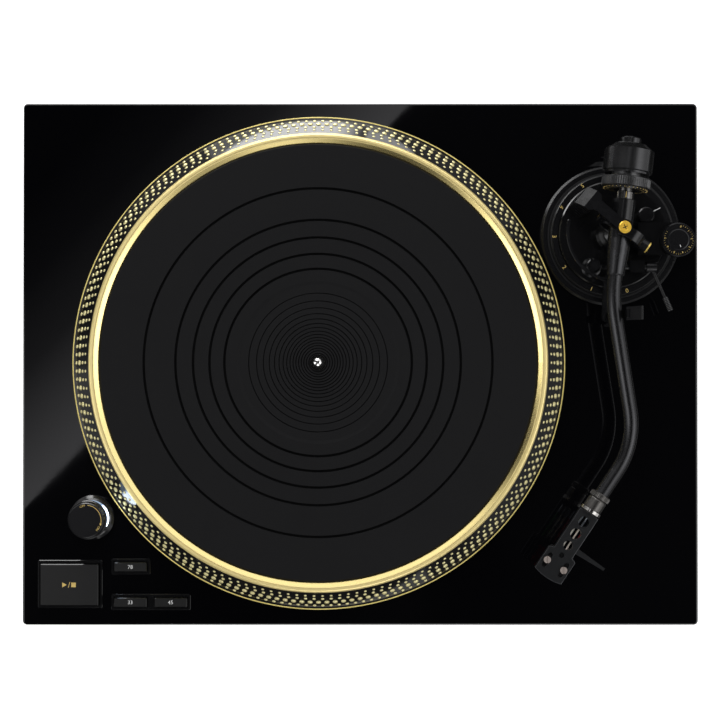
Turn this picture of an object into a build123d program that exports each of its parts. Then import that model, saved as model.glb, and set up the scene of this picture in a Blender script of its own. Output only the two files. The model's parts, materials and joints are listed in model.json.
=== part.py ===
from build123d import *
import os
from math import atan2, cos, degrees, hypot, pi, radians, sin

# Direct-drive turntable record player. Millimetres, +Z up, +X right, +Y to the back.
# The origin is on the surface that the feet stand on, under the middle of the plinth.

# ---- record mat and platter, sized outwards from the mat ----
MAT_R = 145.3
BEVEL_W = 4.3  # sloping band inside the rim
BEVEL_DROP = 1.7
RIM_W = 3.0
BAND_RUN = 12.0  # sloping band outside the rim
FLANGE_LIP = 1.9
RIM_IN_R = MAT_R + BEVEL_W
BAND_TOP_R = RIM_IN_R + RIM_W
BAND_FOOT_R = BAND_TOP_R + BAND_RUN
FLANGE_R = BAND_FOOT_R + FLANGE_LIP

# ---- plinth, its edges placed from the platter's flange ----
EDGE_LEFT = 34.5
EDGE_RIGHT = 90.5
EDGE_FRONT = 11.0
EDGE_BACK = 10.0
WIDTH = EDGE_LEFT + 2 * FLANGE_R + EDGE_RIGHT
DEPTH = EDGE_FRONT + 2 * FLANGE_R + EDGE_BACK
LEFT = -WIDTH / 2
FRONT = -DEPTH / 2
PLATTER_X = LEFT + EDGE_LEFT + FLANGE_R
PLATTER_Y = FRONT + EDGE_FRONT + FLANGE_R
FOOT_HEIGHT = 24.0
BASE_HEIGHT = 26.0
CABINET_HEIGHT = 40.0
CORNER = 3.0  # upright corners
EDGE_ROUND = 1.2
TOP_SKIN = 4.0
SIDE_WALL = 5.0
BASE_WALL = 12.0
BASE_FLOOR = 5.0
BASE_Z = FOOT_HEIGHT
CABINET_Z = BASE_Z + BASE_HEIGHT
TOP = CABINET_Z + CABINET_HEIGHT

# ---- clearances ----
FIT = 0.02  # parts pressed or screwed together
RUN = 0.05  # shafts that turn or slide in their bores
GAP = 0.3  # moving parts beside fixed ones

# ---- platter heights and hub ----
FLANGE_GAP = 2.0
FLANGE_THICK = 3.0
BAND_RISE = 17.5
MAT_PROUD = 0.5
FLANGE_LOW = TOP + FLANGE_GAP
FLANGE_HIGH = FLANGE_LOW + FLANGE_THICK
RIM_HIGH = FLANGE_HIGH + BAND_RISE
MAT_TOP = RIM_HIGH + MAT_PROUD
MAT_THICK = 6.0
PLATTER_WALL = 5.0
WEB_THICK = 4.0
HUB_R = 22.0
SPINDLE_R = 3.6
SHAFT_THICK_R = 5.0  # the spindle inside the platter's hub
SPINDLE_ABOVE_MAT = 14.0
SPINDLE_NOSE = 4.0
MAT_HOLE_R = SHAFT_THICK_R + GAP
FINE_GROOVES = 16
FINE_FIRST = 6.1  # radius of the innermost fine groove
FINE_STEP = 1.7  # step between the innermost fine grooves
FINE_INSET = 6.9  # from the edge of the mat's dish to the outermost fine groove
WIDE_GROOVES = (62.2, 72.1, 83.0, 94.7, 115.7)  # radii on the mat
DISH_R = 53.0
DISH_DROP = 0.5

# ---- motor ----
WELL_MARGIN = 6.7
WELL_R = MAT_R + WELL_MARGIN
WELL_DEPTH = 14.0
WELL_WALL = 3.0
STATOR_R = 74.0
BOARD_THICK = 1.6
COIL_COUNT = 9
COIL_PITCH_R = 50.0
COIL_OUT_R = 14.0
COIL_IN_R = 5.0
COIL_THICK = 5.0
MAGNET_OUT_R = 70.0
MAGNET_IN_R = 32.0
MAGNET_THICK = 5.0
MAGNET_GAP = 1.2
HUB_RISE = 2.0  # of the hub above the magnet's underside
BEARING_R = 9.0
BEARING_DROP = 30.0  # below the well floor
BEARING_FLANGE_R = 24.0

# ---- controls at the front left, measured from the plinth's corner ----
START_FROM_LEFT = 32.5
START_FROM_FRONT = 27.8
SPEED_33_FROM_LEFT = 73.5
SPEED_45_FROM_LEFT = 100.8
SPEED_FROM_FRONT = 15.6
SPEED_78_FROM_FRONT = 39.5
START_X = LEFT + START_FROM_LEFT
START_Y = FRONT + START_FROM_FRONT
START_W = 39.3
START_D = 28.0
START_HIGH = 5.0
SPEED_W = 22.2
SPEED_D = 6.4
SPEED_HIGH = 3.2
SPEED_33_X = LEFT + SPEED_33_FROM_LEFT
SPEED_45_X = LEFT + SPEED_45_FROM_LEFT
SPEED_Y = FRONT + SPEED_FROM_FRONT
SPEED_78_Y = FRONT + SPEED_78_FROM_FRONT
BEZEL_RIM = 2.2
BEZEL_HIGH = 0.9
BEZEL_DEEP = 5.0
KEY_TRAVEL = 1.5
CONTROL_DROP = 10.0  # control board below the bezels

# ---- strobe tower, placed from the platter's flange ----
TOWER_GAP = 19.195
TOWER_BEARING = 214.246  # direction from the spindle
TOWER_X = PLATTER_X + (FLANGE_R + TOWER_GAP) * cos(radians(TOWER_BEARING))
TOWER_Y = PLATTER_Y + (FLANGE_R + TOWER_GAP) * sin(radians(TOWER_BEARING))
TOWER_R = 15.0
TOWER_FOOT = 4.0
COLUMN_R = 11.4
KNOB_R = 12.9
KNOB_TOP_R = 11.6
COLUMN_TALL = 17.0
KNOB_TALL = 8.0
KNOB_LOW = TOP + COLUMN_TALL
KNOB_HIGH = KNOB_LOW + KNOB_TALL
LENS_IN_R = 8.0
LENS_FROM = 2.0  # above the tower's foot
LENS_LOW = TOP + TOWER_FOOT + LENS_FROM
LENS_HALF_ANGLE = 62.0

# ---- tonearm base, its pivot placed from the platter's flange ----
PIVOT_GAP = 48.728
PIVOT_BEARING = 23.551  # direction from the spindle
PIVOT_X = PLATTER_X + (FLANGE_R + PIVOT_GAP) * cos(radians(PIVOT_BEARING))
PIVOT_Y = PLATTER_Y + (FLANGE_R + PIVOT_GAP) * sin(radians(PIVOT_BEARING))
BARREL_R = 36.0
HEIGHT_RING_W = 5.2
RING_W = 5.9
HEIGHT_RING_R = BARREL_R + HEIGHT_RING_W
RING_OUT_R = HEIGHT_RING_R + RING_W
RING_HIGH = 5.0
BARREL_WALL = 4.0
BARREL_DROP = 20.0
HEIGHT_RING_HIGH = 10.0
PLATFORM_HIGH = 12.0
PLATFORM_SKIN = 3.0
PLATFORM_Z = TOP + PLATFORM_HIGH

# ---- gimbal ----
ARM_ABOVE = 42.5
ARM_Z = TOP + ARM_ABOVE
TILT_TURN = 33.6  # the tilt axis, turned from +X towards the front
FRAME_HALF_W = 16.0
FRAME_HALF_H = 11.3
FRAME_BAR = 2.5
FRAME_CHEEK = 3.5
FRAME_DEEP = 7.0
HOUSING_R = 3.8
HOUSING_END = 20.6
PIN_R = 1.5
PEDESTAL_R = 13.0
YOKE_TURN = 140.0  # direction of the yoke's post from the pivot
YOKE_POST_IN = 23.0
YOKE_POST_OUT = 35.5
YOKE_POST_W = 13.0
YOKE_BEAM_W = 7.0
YOKE_GAP = 0.4
YOKE_THICK = 4.1
YOKE_LOW = ARM_Z + FRAME_HALF_H + YOKE_GAP
YOKE_HIGH = YOKE_LOW + YOKE_THICK
CAP_R = 4.0
CAP_THICK = 1.7
CAP_HIGH = YOKE_HIGH + CAP_THICK

# ---- tonearm; its main axis leans this much from the front-to-back line ----
ARM_LEAN = 6.72
HUB_SIZE_R = 7.6
CONE_LENGTH = 30.0
CONE_END_R = 5.75
TUBE_R = 4.75
TUBE_BORE_R = 3.9
TUBE_BEND_1 = (-5.3, -45.0)  # tube corners from the pivot
TUBE_BEND_2 = (9.3, -138.9)
TUBE_RADIUS_1 = 100.0
TUBE_RADIUS_2 = 56.0
HEAD_TURN = 33.6  # headshell axis, turned from the front towards the left
TUBE_LAST = 54.5  # from the second corner to the headshell's shoulder
COLLAR_LENGTH = 15.0
COLLAR_R = 6.3
COLLAR_RING_R = 7.0
HEAD_LENGTH = 50.0
NECK_LENGTH = 30.5
NECK_HALF_W = 6.9
HEAD_HALF_W = 10.1
HEAD_ABOVE = 2.0
HEAD_BELOW = 2.6
HEAD_HOLES = ((6.5, 3.6), (15.9, 3.6), (24.8, 3.1), (32.4, 1.7))  # along, radius
SCREW_ALONG = 39.9
SCREW_SPACING = 12.7
SLOT_LENGTH = 10.5
SLOT_W = 3.0
CARTRIDGE_HALF_W = 8.2
CARTRIDGE_FROM = 30.0
CARTRIDGE_TO = 49.0
CARTRIDGE_TALL = 10.5
TIP_ALONG = 49.3
TIP_ABOVE_MAT = 1.8
LIFT_ALONG = 25.0
LIFT_REACH = 21.5

# ---- rear of the tonearm, distances behind the pivot ----
STUB_R = 7.5
STUB_END = 19.8
INDEX_R = 6.0
INDEX_END = 24.9
SHAFT_R = 5.0
SHAFT_END = 53.0
DIAL_FROM = 26.0
DIAL_FACE_R = 15.5
DIAL_TO = 33.7
DIAL_HUB_R = 10.0
WEIGHT_FROM = 37.4
WEIGHT_R = 16.0
WEIGHT_TO = 51.6
WEIGHT_END = 55.8
WEIGHT_END_R = 10.5
SLEEVE_R = 7.4
KNOB_END = 60.3
REAR_KNOB_R = 6.65

# ---- around the tonearm base, distances from the pivot ----
ANTISKATE = (39.5, -5.6)
ANTISKATE_R = 11.2
ANTISKATE_ABOVE = 30.0
ANTISKATE_THICK = 5.0
ANTISKATE_LOW = TOP + ANTISKATE_ABOVE
ANTISKATE_HIGH = ANTISKATE_LOW + ANTISKATE_THICK
SHELF_THICK = 4.0
LOCK = (21.4, 12.5)
LOCK_R = 5.3
LOCK_TALL = 8.0
LOCK_HIGH = PLATFORM_Z + LOCK_TALL
LIFT_POST_X = -14.7
LIFT_POST_Y = -22.3
LIFT_POST = (LIFT_POST_X, LIFT_POST_Y)
LIFT_POST_R = 2.0
LIFT_HOUSING_R = 5.0
LIFT_HOUSING_TALL = 15.0
LIFT_HOUSING_HIGH = PLATFORM_Z + LIFT_HOUSING_TALL
LIFT_RAIL_R = 33.0
LIFT_RAIL_GAP = 3.35  # below the tube
LIFT_RAIL_TOP = ARM_Z - TUBE_R - LIFT_RAIL_GAP
LIFT_RAIL_FROM = 168.0
LIFT_RAIL_TO = 258.0
CUE_ABOVE = 8.0
CUE_Z = PLATFORM_Z + CUE_ABOVE
CUE_SHAFT_R = 2.0
CUE_RIGHT = 25.5
CUE_TIP = (37.7, -52.0)
REST = (-3.2, -54.8)
REST_HALF_W = 7.8
REST_DEEP = 5.0
LATCH_ABOVE = 6.0
LATCH_Z = ARM_Z + LATCH_ABOVE

# ---- feet, rear panel and boards ----
FOOT_R = 30.0
FOOT_INSET_X = 48.0
FOOT_INSET_Y = 46.0
FOOT_BEVEL = 3.0
PAD_R = 26.0
PAD_W = 10.0
PAD_THICK = 8.0
STUD_R = 4.0
STUD_LENGTH = 13.0
PANEL_X = -60.0
PANEL_W = 150.0
PANEL_DEEP = 14.0
PANEL_THICK = 2.0
PANEL_DROP = 10.0  # below the plinth's top
JACK_R = 4.15
JACK_LENGTH = 9.0
JACK_SPACING = 20.0
JACK_INSET = 40.0  # from the panel's end
JACK_X = PANEL_X - PANEL_W / 2 + JACK_INSET
JACK_ABOVE = 16.0
JACK_Z = CABINET_Z + JACK_ABOVE
GROUND_OFFSET = 10.0  # from the panel's middle
GROUND_X = PANEL_X + GROUND_OFFSET
INLET_INSET = 30.0
INLET_X = PANEL_X + PANEL_W / 2 - INLET_INSET
INLET_W = 28.0
INLET_H = 21.0
SCREW_R = 2.0
SCREW_HEAD_R = 3.6
SCREW_HEAD = 2.2

# ---- worked-out places ----
ARM_REAR = (sin(radians(ARM_LEAN)), cos(radians(ARM_LEAN)))
HEAD_DIR = (-sin(radians(HEAD_TURN)), -cos(radians(HEAD_TURN)))
TILT_DIR = (cos(radians(TILT_TURN)), -sin(radians(TILT_TURN)))
HEAD_X = PIVOT_X + TUBE_BEND_2[0] + TUBE_LAST * HEAD_DIR[0]
HEAD_Y = PIVOT_Y + TUBE_BEND_2[1] + TUBE_LAST * HEAD_DIR[1]
WELL_FLOOR = TOP - WELL_DEPTH
COIL_Z = WELL_FLOOR + BOARD_THICK
MAGNET_Z = COIL_Z + COIL_THICK + MAGNET_GAP
HUB_Z = MAGNET_Z + HUB_RISE
WEB_Z = MAT_TOP - MAT_THICK - WEB_THICK
KEY_FLANGE_Z = TOP - BEZEL_DEEP
CONTROL_Z = KEY_FLANGE_Z - CONTROL_DROP


def save(piece, name):
    """Label a finished piece and write it to its own file."""
    piece.part.label = name
    export_step(piece.part, f"parts/{name}.step")


def upright(x, y):
    """A standing plane through a vertical axis: local x outwards, local y up."""
    return Plane(origin=(x, y, 0), x_dir=(1, 0, 0), z_dir=(0, -1, 0))


def turned(x, y, profile):
    """A piece turned about a vertical axis from (radius, height) points."""
    with BuildPart() as piece:
        with BuildSketch(upright(x, y)):
            with BuildLine():
                Polyline(*profile, close=True)
            make_face()
        revolve(axis=Axis((x, y, 0), (0, 0, 1)))
    return piece


def turned_on_arm(profile):
    """A piece turned about the tonearm's rear axis from (distance, radius) points."""
    side = Plane(
        origin=(PIVOT_X, PIVOT_Y, ARM_Z),
        x_dir=(*ARM_REAR, 0),
        z_dir=(ARM_REAR[1], -ARM_REAR[0], 0),
    )
    with BuildPart() as piece:
        with BuildSketch(side):
            with BuildLine():
                Polyline(*profile, close=True)
            make_face()
        revolve(axis=Axis(side.origin, side.x_dir))
    return piece


def head_plane(z):
    """A level plane at the headshell's shoulder: local x forwards, local y away from the platter."""
    return Plane(origin=(HEAD_X, HEAD_Y, z), x_dir=(*HEAD_DIR, 0), z_dir=(0, 0, 1))


def near_pivot(offset):
    """A place given by its distances from the pivot."""
    return (PIVOT_X + offset[0], PIVOT_Y + offset[1])


os.makedirs("parts", exist_ok=True)

# ================= plinth =================

KEYS = {
    "start_button": (START_X, START_Y, START_W, START_D, START_HIGH),
    "speed_33_button": (SPEED_33_X, SPEED_Y, SPEED_W, SPEED_D, SPEED_HIGH),
    "speed_45_button": (SPEED_45_X, SPEED_Y, SPEED_W, SPEED_D, SPEED_HIGH),
    "speed_78_button": (SPEED_33_X, SPEED_78_Y, SPEED_W, SPEED_D, SPEED_HIGH),
}
SPEED_MID_X = (SPEED_33_X + SPEED_45_X) / 2
SPEED_SPAN = SPEED_45_X - SPEED_33_X + SPEED_W
BEZELS = {
    "start_bezel": (START_X, START_Y, START_W, START_D, ["start_button"]),
    "speed_bezel": (SPEED_MID_X, SPEED_Y, SPEED_SPAN, SPEED_D, ["speed_33_button", "speed_45_button"]),
    "speed_78_bezel": (SPEED_33_X, SPEED_78_Y, SPEED_W, SPEED_D, ["speed_78_button"]),
}
CONTROL_X = (START_X - START_W / 2 + SPEED_45_X + SPEED_W / 2) / 2
CONTROL_INSET = 3.0
CONTROL_MARGIN = 4.5
CONTROL_W = SPEED_45_X + SPEED_W / 2 - START_X + START_W / 2 - 2 * CONTROL_INSET
CONTROL_Y = (SPEED_Y + SPEED_78_Y) / 2
CONTROL_D = SPEED_78_Y - SPEED_Y + 2 * CONTROL_MARGIN
POST_R = 2.5
BEZEL_CORNER = 1.0

with BuildPart() as top_cabinet:
    with BuildSketch(Plane.XY.offset(CABINET_Z)):
        RectangleRounded(WIDTH, DEPTH, CORNER)
    extrude(amount=CABINET_HEIGHT)
    fillet(top_cabinet.faces().sort_by(Axis.Z)[-1].edges(), EDGE_ROUND)
    with BuildSketch(Plane.XY.offset(CABINET_Z)):
        Rectangle(WIDTH - 2 * SIDE_WALL, DEPTH - 2 * SIDE_WALL)
    extrude(amount=CABINET_HEIGHT - TOP_SKIN, mode=Mode.SUBTRACT)
    # the well that holds the motor, under the platter
    with BuildSketch(Plane.XY.offset(WELL_FLOOR - WELL_WALL)):
        with Locations((PLATTER_X, PLATTER_Y)):
            Circle(WELL_R + WELL_WALL)
    extrude(amount=WELL_DEPTH + WELL_WALL - TOP_SKIN)
    with BuildSketch(Plane.XY.offset(WELL_FLOOR)):
        with Locations((PLATTER_X, PLATTER_Y)):
            Circle(WELL_R)
    extrude(amount=WELL_DEPTH, mode=Mode.SUBTRACT)
    with BuildSketch(Plane.XY.offset(WELL_FLOOR - WELL_WALL)):
        with Locations((PLATTER_X, PLATTER_Y)):
            Circle(BEARING_R + FIT)
    extrude(amount=WELL_WALL, mode=Mode.SUBTRACT)
    # posts that carry the control board
    with BuildSketch(Plane.XY.offset(CONTROL_Z + BOARD_THICK)):
        with Locations((CONTROL_X, CONTROL_Y)):
            with GridLocations(CONTROL_W - 2 * POST_R, CONTROL_D - 2 * POST_R, 2, 2):
                Circle(POST_R)
    extrude(amount=TOP - TOP_SKIN - CONTROL_Z - BOARD_THICK)
    # openings for the bezels, the strobe tower and the tonearm base
    with BuildSketch(Plane.XY.offset(CABINET_Z)):
        for x, y, w, d, keys in BEZELS.values():
            with Locations((x, y)):
                RectangleRounded(w + BEZEL_RIM, d + BEZEL_RIM, BEZEL_CORNER)
        with Locations((TOWER_X, TOWER_Y)):
            Circle(COLUMN_R)
        with Locations((PIVOT_X, PIVOT_Y)):
            Circle(BARREL_R + BARREL_WALL + FIT)
    extrude(amount=CABINET_HEIGHT, mode=Mode.SUBTRACT)
    # recess in the back for the terminals
    with BuildSketch(Plane.XY.offset(CABINET_Z)):
        with Locations((PANEL_X, DEPTH / 2 - SIDE_WALL / 2)):
            Rectangle(PANEL_W - 2 * PANEL_THICK, SIDE_WALL)
    extrude(amount=CABINET_HEIGHT - PANEL_DROP, mode=Mode.SUBTRACT)
save(top_cabinet, "top_cabinet")

COVER_INSET_X = 75.0
COVER_INSET_Y = 65.0
COVER_W = WIDTH - 2 * COVER_INSET_X
COVER_D = DEPTH - 2 * COVER_INSET_Y
COVER_THICK = 2.0
COVER_LEDGE = 10.0
COVER_SCREW_INSET = 5.0
COVER_SCREW_W = COVER_W - 2 * COVER_SCREW_INSET
COVER_SCREW_D = COVER_D - 2 * COVER_SCREW_INSET
VENT_PITCH = 9.0
VENT_COUNT = 9
VENT_LENGTH = 50.0
VENT_W = 3.0
FEET = {
    "foot_front_left": (-1, -1),
    "foot_front_right": (1, -1),
    "foot_rear_left": (-1, 1),
    "foot_rear_right": (1, 1),
}
FOOT_X = WIDTH / 2 - FOOT_INSET_X
FOOT_Y = DEPTH / 2 - FOOT_INSET_Y
BOSS_WALL = 5.0
BOSS_ROOF = 3.0

with BuildPart() as heavy_base:
    with BuildSketch(Plane.XY.offset(BASE_Z)):
        RectangleRounded(WIDTH, DEPTH, CORNER)
    extrude(amount=BASE_HEIGHT)
    with BuildSketch(Plane.XY.offset(BASE_Z + BASE_FLOOR)):
        Rectangle(WIDTH - 2 * BASE_WALL, DEPTH - 2 * BASE_WALL)
    extrude(amount=BASE_HEIGHT - BASE_FLOOR, mode=Mode.SUBTRACT)
    with BuildSketch(Plane.XY.offset(BASE_Z)):
        with GridLocations(2 * FOOT_X, 2 * FOOT_Y, 2, 2):
            Circle(STUD_R + BOSS_WALL)
    extrude(amount=STUD_LENGTH + BOSS_ROOF)
    with BuildSketch(Plane.XY.offset(BASE_Z)):
        with GridLocations(2 * FOOT_X, 2 * FOOT_Y, 2, 2):
            Circle(STUD_R + RUN)
    extrude(amount=STUD_LENGTH + GAP, mode=Mode.SUBTRACT)
    # service opening, stepped for the bottom cover
    with BuildSketch(Plane.XY.offset(BASE_Z)):
        Rectangle(COVER_W - 2 * COVER_LEDGE, COVER_D - 2 * COVER_LEDGE)
    extrude(amount=BASE_FLOOR, mode=Mode.SUBTRACT)
    with BuildSketch(Plane.XY.offset(BASE_Z)):
        Rectangle(COVER_W, COVER_D)
    extrude(amount=COVER_THICK, mode=Mode.SUBTRACT)
    chamfer(heavy_base.faces().sort_by(Axis.Z)[0].outer_wire().edges(), EDGE_ROUND)
save(heavy_base, "heavy_base")

with BuildPart() as bottom_cover:
    with BuildSketch(Plane.XY.offset(BASE_Z)):
        Rectangle(COVER_W - 2 * GAP, COVER_D - 2 * GAP)
        with GridLocations(COVER_SCREW_W, COVER_SCREW_D, 2, 2):
            Circle(SCREW_R + FIT, mode=Mode.SUBTRACT)
        with GridLocations(VENT_PITCH, VENT_LENGTH, VENT_COUNT, 1):
            SlotOverall(VENT_LENGTH, VENT_W, rotation=90, mode=Mode.SUBTRACT)
    extrude(amount=COVER_THICK)
save(bottom_cover, "bottom_cover")

with BuildPart() as cover_screws:
    with BuildSketch(Plane.XY.offset(BASE_Z - SCREW_HEAD)):
        with GridLocations(COVER_SCREW_W, COVER_SCREW_D, 2, 2):
            Circle(SCREW_HEAD_R)
    extrude(amount=SCREW_HEAD)
    with BuildSketch(Plane.XY.offset(BASE_Z)):
        with GridLocations(COVER_SCREW_W, COVER_SCREW_D, 2, 2):
            Circle(SCREW_R)
    extrude(amount=COVER_THICK)
save(cover_screws, "cover_screws")

for name, (side_x, side_y) in FEET.items():
    foot_body = turned(
        side_x * FOOT_X,
        side_y * FOOT_Y,
        [(0, PAD_THICK), (FOOT_R - FOOT_BEVEL, PAD_THICK), (FOOT_R, PAD_THICK + FOOT_BEVEL),
         (FOOT_R, FOOT_HEIGHT - FOOT_BEVEL), (FOOT_R - FOOT_BEVEL, FOOT_HEIGHT), (STUD_R, FOOT_HEIGHT),
         (STUD_R, FOOT_HEIGHT + STUD_LENGTH), (0, FOOT_HEIGHT + STUD_LENGTH)],
    ).part
    with BuildPart() as foot:
        add(foot_body)
        with BuildSketch(Plane.XY):
            with Locations((side_x * FOOT_X, side_y * FOOT_Y)):
                Circle(PAD_R)
                Circle(PAD_R - PAD_W, mode=Mode.SUBTRACT)
        extrude(amount=PAD_THICK)
    save(foot, name)

# ================= rear terminals =================

PANEL_Y = DEPTH / 2 - PANEL_DEEP
PANEL_LOW = CABINET_Z
PANEL_HIGH = TOP - PANEL_DROP
PANEL_FACE = Plane.XZ.offset(-PANEL_Y - PANEL_THICK)
INLET_ABOVE = 12.3
INLET_Z = CABINET_Z + INLET_ABOVE
JACK_PLACES = ((JACK_X - JACK_SPACING / 2, JACK_Z), (JACK_X + JACK_SPACING / 2, JACK_Z))

with BuildPart() as terminal_panel:
    with BuildSketch(Plane.XY.offset(PANEL_LOW)):
        with Locations((PANEL_X, (PANEL_Y + DEPTH / 2 - SIDE_WALL) / 2)):
            Rectangle(PANEL_W, PANEL_DEEP - SIDE_WALL)
    extrude(amount=PANEL_HIGH - PANEL_LOW + PANEL_THICK)
    with BuildSketch(Plane.XY.offset(PANEL_LOW)):
        with Locations((PANEL_X, (PANEL_Y + PANEL_THICK + DEPTH / 2) / 2)):
            Rectangle(PANEL_W - 2 * PANEL_THICK, DEPTH / 2 - PANEL_Y - PANEL_THICK)
    extrude(amount=PANEL_HIGH - PANEL_LOW, mode=Mode.SUBTRACT)
    with BuildSketch(PANEL_FACE):
        with Locations(*JACK_PLACES):
            Circle(JACK_R + FIT)
        with Locations((GROUND_X, JACK_Z)):
            Circle(SCREW_R + RUN)
        with Locations((INLET_X, INLET_Z)):
            Rectangle(INLET_W + 2 * FIT, INLET_H + 2 * FIT)
    extrude(amount=PANEL_THICK, mode=Mode.SUBTRACT)
save(terminal_panel, "terminal_panel")

JACK_BACK = PANEL_Y + PANEL_THICK + JACK_LENGTH
JACK_INSIDE = 6.0  # behind the panel
JACK_COLLAR = 2.0
JACK_BORE_R = 1.6
JACK_BORE_END = 1.0
with BuildPart() as phono_jacks:
    with BuildSketch(Plane.XZ.offset(-JACK_BACK)):
        with Locations(*JACK_PLACES):
            Circle(JACK_R)
    extrude(amount=JACK_LENGTH + PANEL_THICK + JACK_INSIDE)
    with BuildSketch(PANEL_FACE):
        with Locations(*JACK_PLACES):
            Circle(JACK_R + JACK_COLLAR)
    extrude(amount=-JACK_COLLAR)
    with BuildSketch(Plane.XZ.offset(-JACK_BACK)):
        with Locations(*JACK_PLACES):
            Circle(JACK_BORE_R)
    extrude(amount=JACK_LENGTH - JACK_BORE_END, mode=Mode.SUBTRACT)
save(phono_jacks, "phono_jacks")

TERMINAL_R = 4.6
TERMINAL_LENGTH = 7.0
TERMINAL_SIDES = 12
TERMINAL_INSIDE = 5.0
with BuildPart() as ground_terminal:
    with BuildSketch(PANEL_FACE):
        with Locations((GROUND_X, JACK_Z)):
            RegularPolygon(TERMINAL_R, TERMINAL_SIDES)
    extrude(amount=-TERMINAL_LENGTH)
    with BuildSketch(PANEL_FACE):
        with Locations((GROUND_X, JACK_Z)):
            Circle(SCREW_R)
    extrude(amount=PANEL_THICK + TERMINAL_INSIDE)
save(ground_terminal, "ground_terminal")

INLET_LIP = 2.0
INLET_LIP_W = 2.5
INLET_LIP_H = 1.0
INLET_DEEP = 16.0
INLET_WALL_W = 2.0
INLET_WALL_H = 2.5
INLET_PINS = ((0.0, 2.0), (-7.0, -2.0), (7.0, -2.0))  # from the inlet's middle
INLET_PIN_W = 2.0
INLET_PIN_H = 4.0
INLET_PIN_LENGTH = 9.0
with BuildPart() as mains_inlet:
    with BuildSketch(PANEL_FACE):
        with Locations((INLET_X, INLET_Z)):
            RectangleRounded(INLET_W + 2 * INLET_LIP_W, INLET_H + 2 * INLET_LIP_H, INLET_LIP)
    extrude(amount=-INLET_LIP)
    with BuildSketch(PANEL_FACE):
        with Locations((INLET_X, INLET_Z)):
            Rectangle(INLET_W, INLET_H)
    extrude(amount=PANEL_THICK + INLET_DEEP)
    with BuildSketch(PANEL_FACE.offset(-INLET_LIP)):
        with Locations((INLET_X, INLET_Z)):
            Rectangle(INLET_W - 2 * INLET_WALL_W, INLET_H - 2 * INLET_WALL_H)
    extrude(amount=PANEL_THICK + INLET_DEEP, mode=Mode.SUBTRACT)
    with BuildSketch(PANEL_FACE.offset(PANEL_THICK + INLET_DEEP)):
        for pin_x, pin_z in INLET_PINS:
            with Locations((INLET_X + pin_x, INLET_Z + pin_z)):
                Rectangle(INLET_PIN_W, INLET_PIN_H)
    extrude(amount=-INLET_PIN_LENGTH)
save(mains_inlet, "mains_inlet")

# ================= electronics =================

BASE_FLOOR_Z = BASE_Z + BASE_FLOOR
RAIL_Z = BASE_Z + COVER_THICK
BOARD_W = 90.0
BOARD_D = 120.0
BOARD_INSET = 25.0
BOARD_X = COVER_W / 2 - BOARD_INSET - BOARD_W / 2
BOARD_Y = -20.0
STANDOFF = 6.0
STANDOFF_R = 3.0
STANDOFF_INSET = 5.0
PARTS_X = 20.0
PARTS_Y = 30.0
PARTS_HIGH = 9.0
CHIP_W = 22.0
SINK_W = 10.0
SINK_D = 60.0
CAN_PITCH = 14.0
CAN_R = 5.0

with BuildPart() as circuit_board:
    with BuildSketch(Plane.XY.offset(RAIL_Z + STANDOFF)):
        with Locations((BOARD_X, BOARD_Y)):
            Rectangle(BOARD_W, BOARD_D)
    extrude(amount=BOARD_THICK)
    with BuildSketch(Plane.XY.offset(RAIL_Z)):
        with Locations((BOARD_X, BOARD_Y)):
            with GridLocations(BOARD_W - 2 * STANDOFF_INSET, BOARD_D - 2 * STANDOFF_INSET, 2, 2):
                Circle(STANDOFF_R)
    extrude(amount=STANDOFF)
    with BuildSketch(Plane.XY.offset(RAIL_Z + STANDOFF + BOARD_THICK)):
        with Locations((BOARD_X - PARTS_X, BOARD_Y + PARTS_Y)):
            Rectangle(CHIP_W, CHIP_W)
        with Locations((BOARD_X + PARTS_X, BOARD_Y)):
            Rectangle(SINK_W, SINK_D)
        with Locations((BOARD_X - PARTS_X, BOARD_Y - PARTS_Y)):
            with GridLocations(CAN_PITCH, CAN_PITCH, 2, 2):
                Circle(CAN_R)
    extrude(amount=PARTS_HIGH)
save(circuit_board, "circuit_board")

CORE_W = 60.0
CORE_D = 48.0
CORE_H = 30.0
WINDING_W = 40.0
WINDING_H = 18.0
WINDING_REACH = 8.0  # beyond the core, front and back
WINDING_CORNER = 5.0
LUG_REACH = 8.0
LUG_D = 32.0
LUG_THICK = 2.0
TRANSFORMER_X = 105.0
TRANSFORMER_INSET = 40.0
TRANSFORMER_Y = DEPTH / 2 - BASE_WALL - TRANSFORMER_INSET
with BuildPart() as transformer:
    with BuildSketch(Plane.XY.offset(BASE_FLOOR_Z)):
        with Locations((TRANSFORMER_X, TRANSFORMER_Y)):
            Rectangle(CORE_W, CORE_D)
    extrude(amount=CORE_H)
    with BuildSketch(Plane.XY.offset(BASE_FLOOR_Z + (CORE_H - WINDING_H) / 2)):
        with Locations((TRANSFORMER_X, TRANSFORMER_Y)):
            RectangleRounded(WINDING_W, CORE_D + 2 * WINDING_REACH, WINDING_CORNER)
    extrude(amount=WINDING_H)
    with BuildSketch(Plane.XY.offset(BASE_FLOOR_Z)):
        with Locations((TRANSFORMER_X, TRANSFORMER_Y)):
            Rectangle(CORE_W + 2 * LUG_REACH, LUG_D)
    extrude(amount=LUG_THICK)
save(transformer, "transformer")

with BuildPart() as stator_board:
    with BuildSketch(Plane.XY.offset(WELL_FLOOR)):
        with Locations((PLATTER_X, PLATTER_Y)):
            Circle(STATOR_R)
            Circle(BEARING_FLANGE_R + FIT, mode=Mode.SUBTRACT)
    extrude(amount=BOARD_THICK)
save(stator_board, "stator_board")

with BuildPart() as stator_coils:
    with BuildSketch(Plane.XY.offset(COIL_Z)):
        with Locations((PLATTER_X, PLATTER_Y)):
            with PolarLocations(COIL_PITCH_R, COIL_COUNT):
                Circle(COIL_OUT_R)
                Circle(COIL_IN_R, mode=Mode.SUBTRACT)
    extrude(amount=COIL_THICK)
save(stator_coils, "stator_coils")

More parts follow.
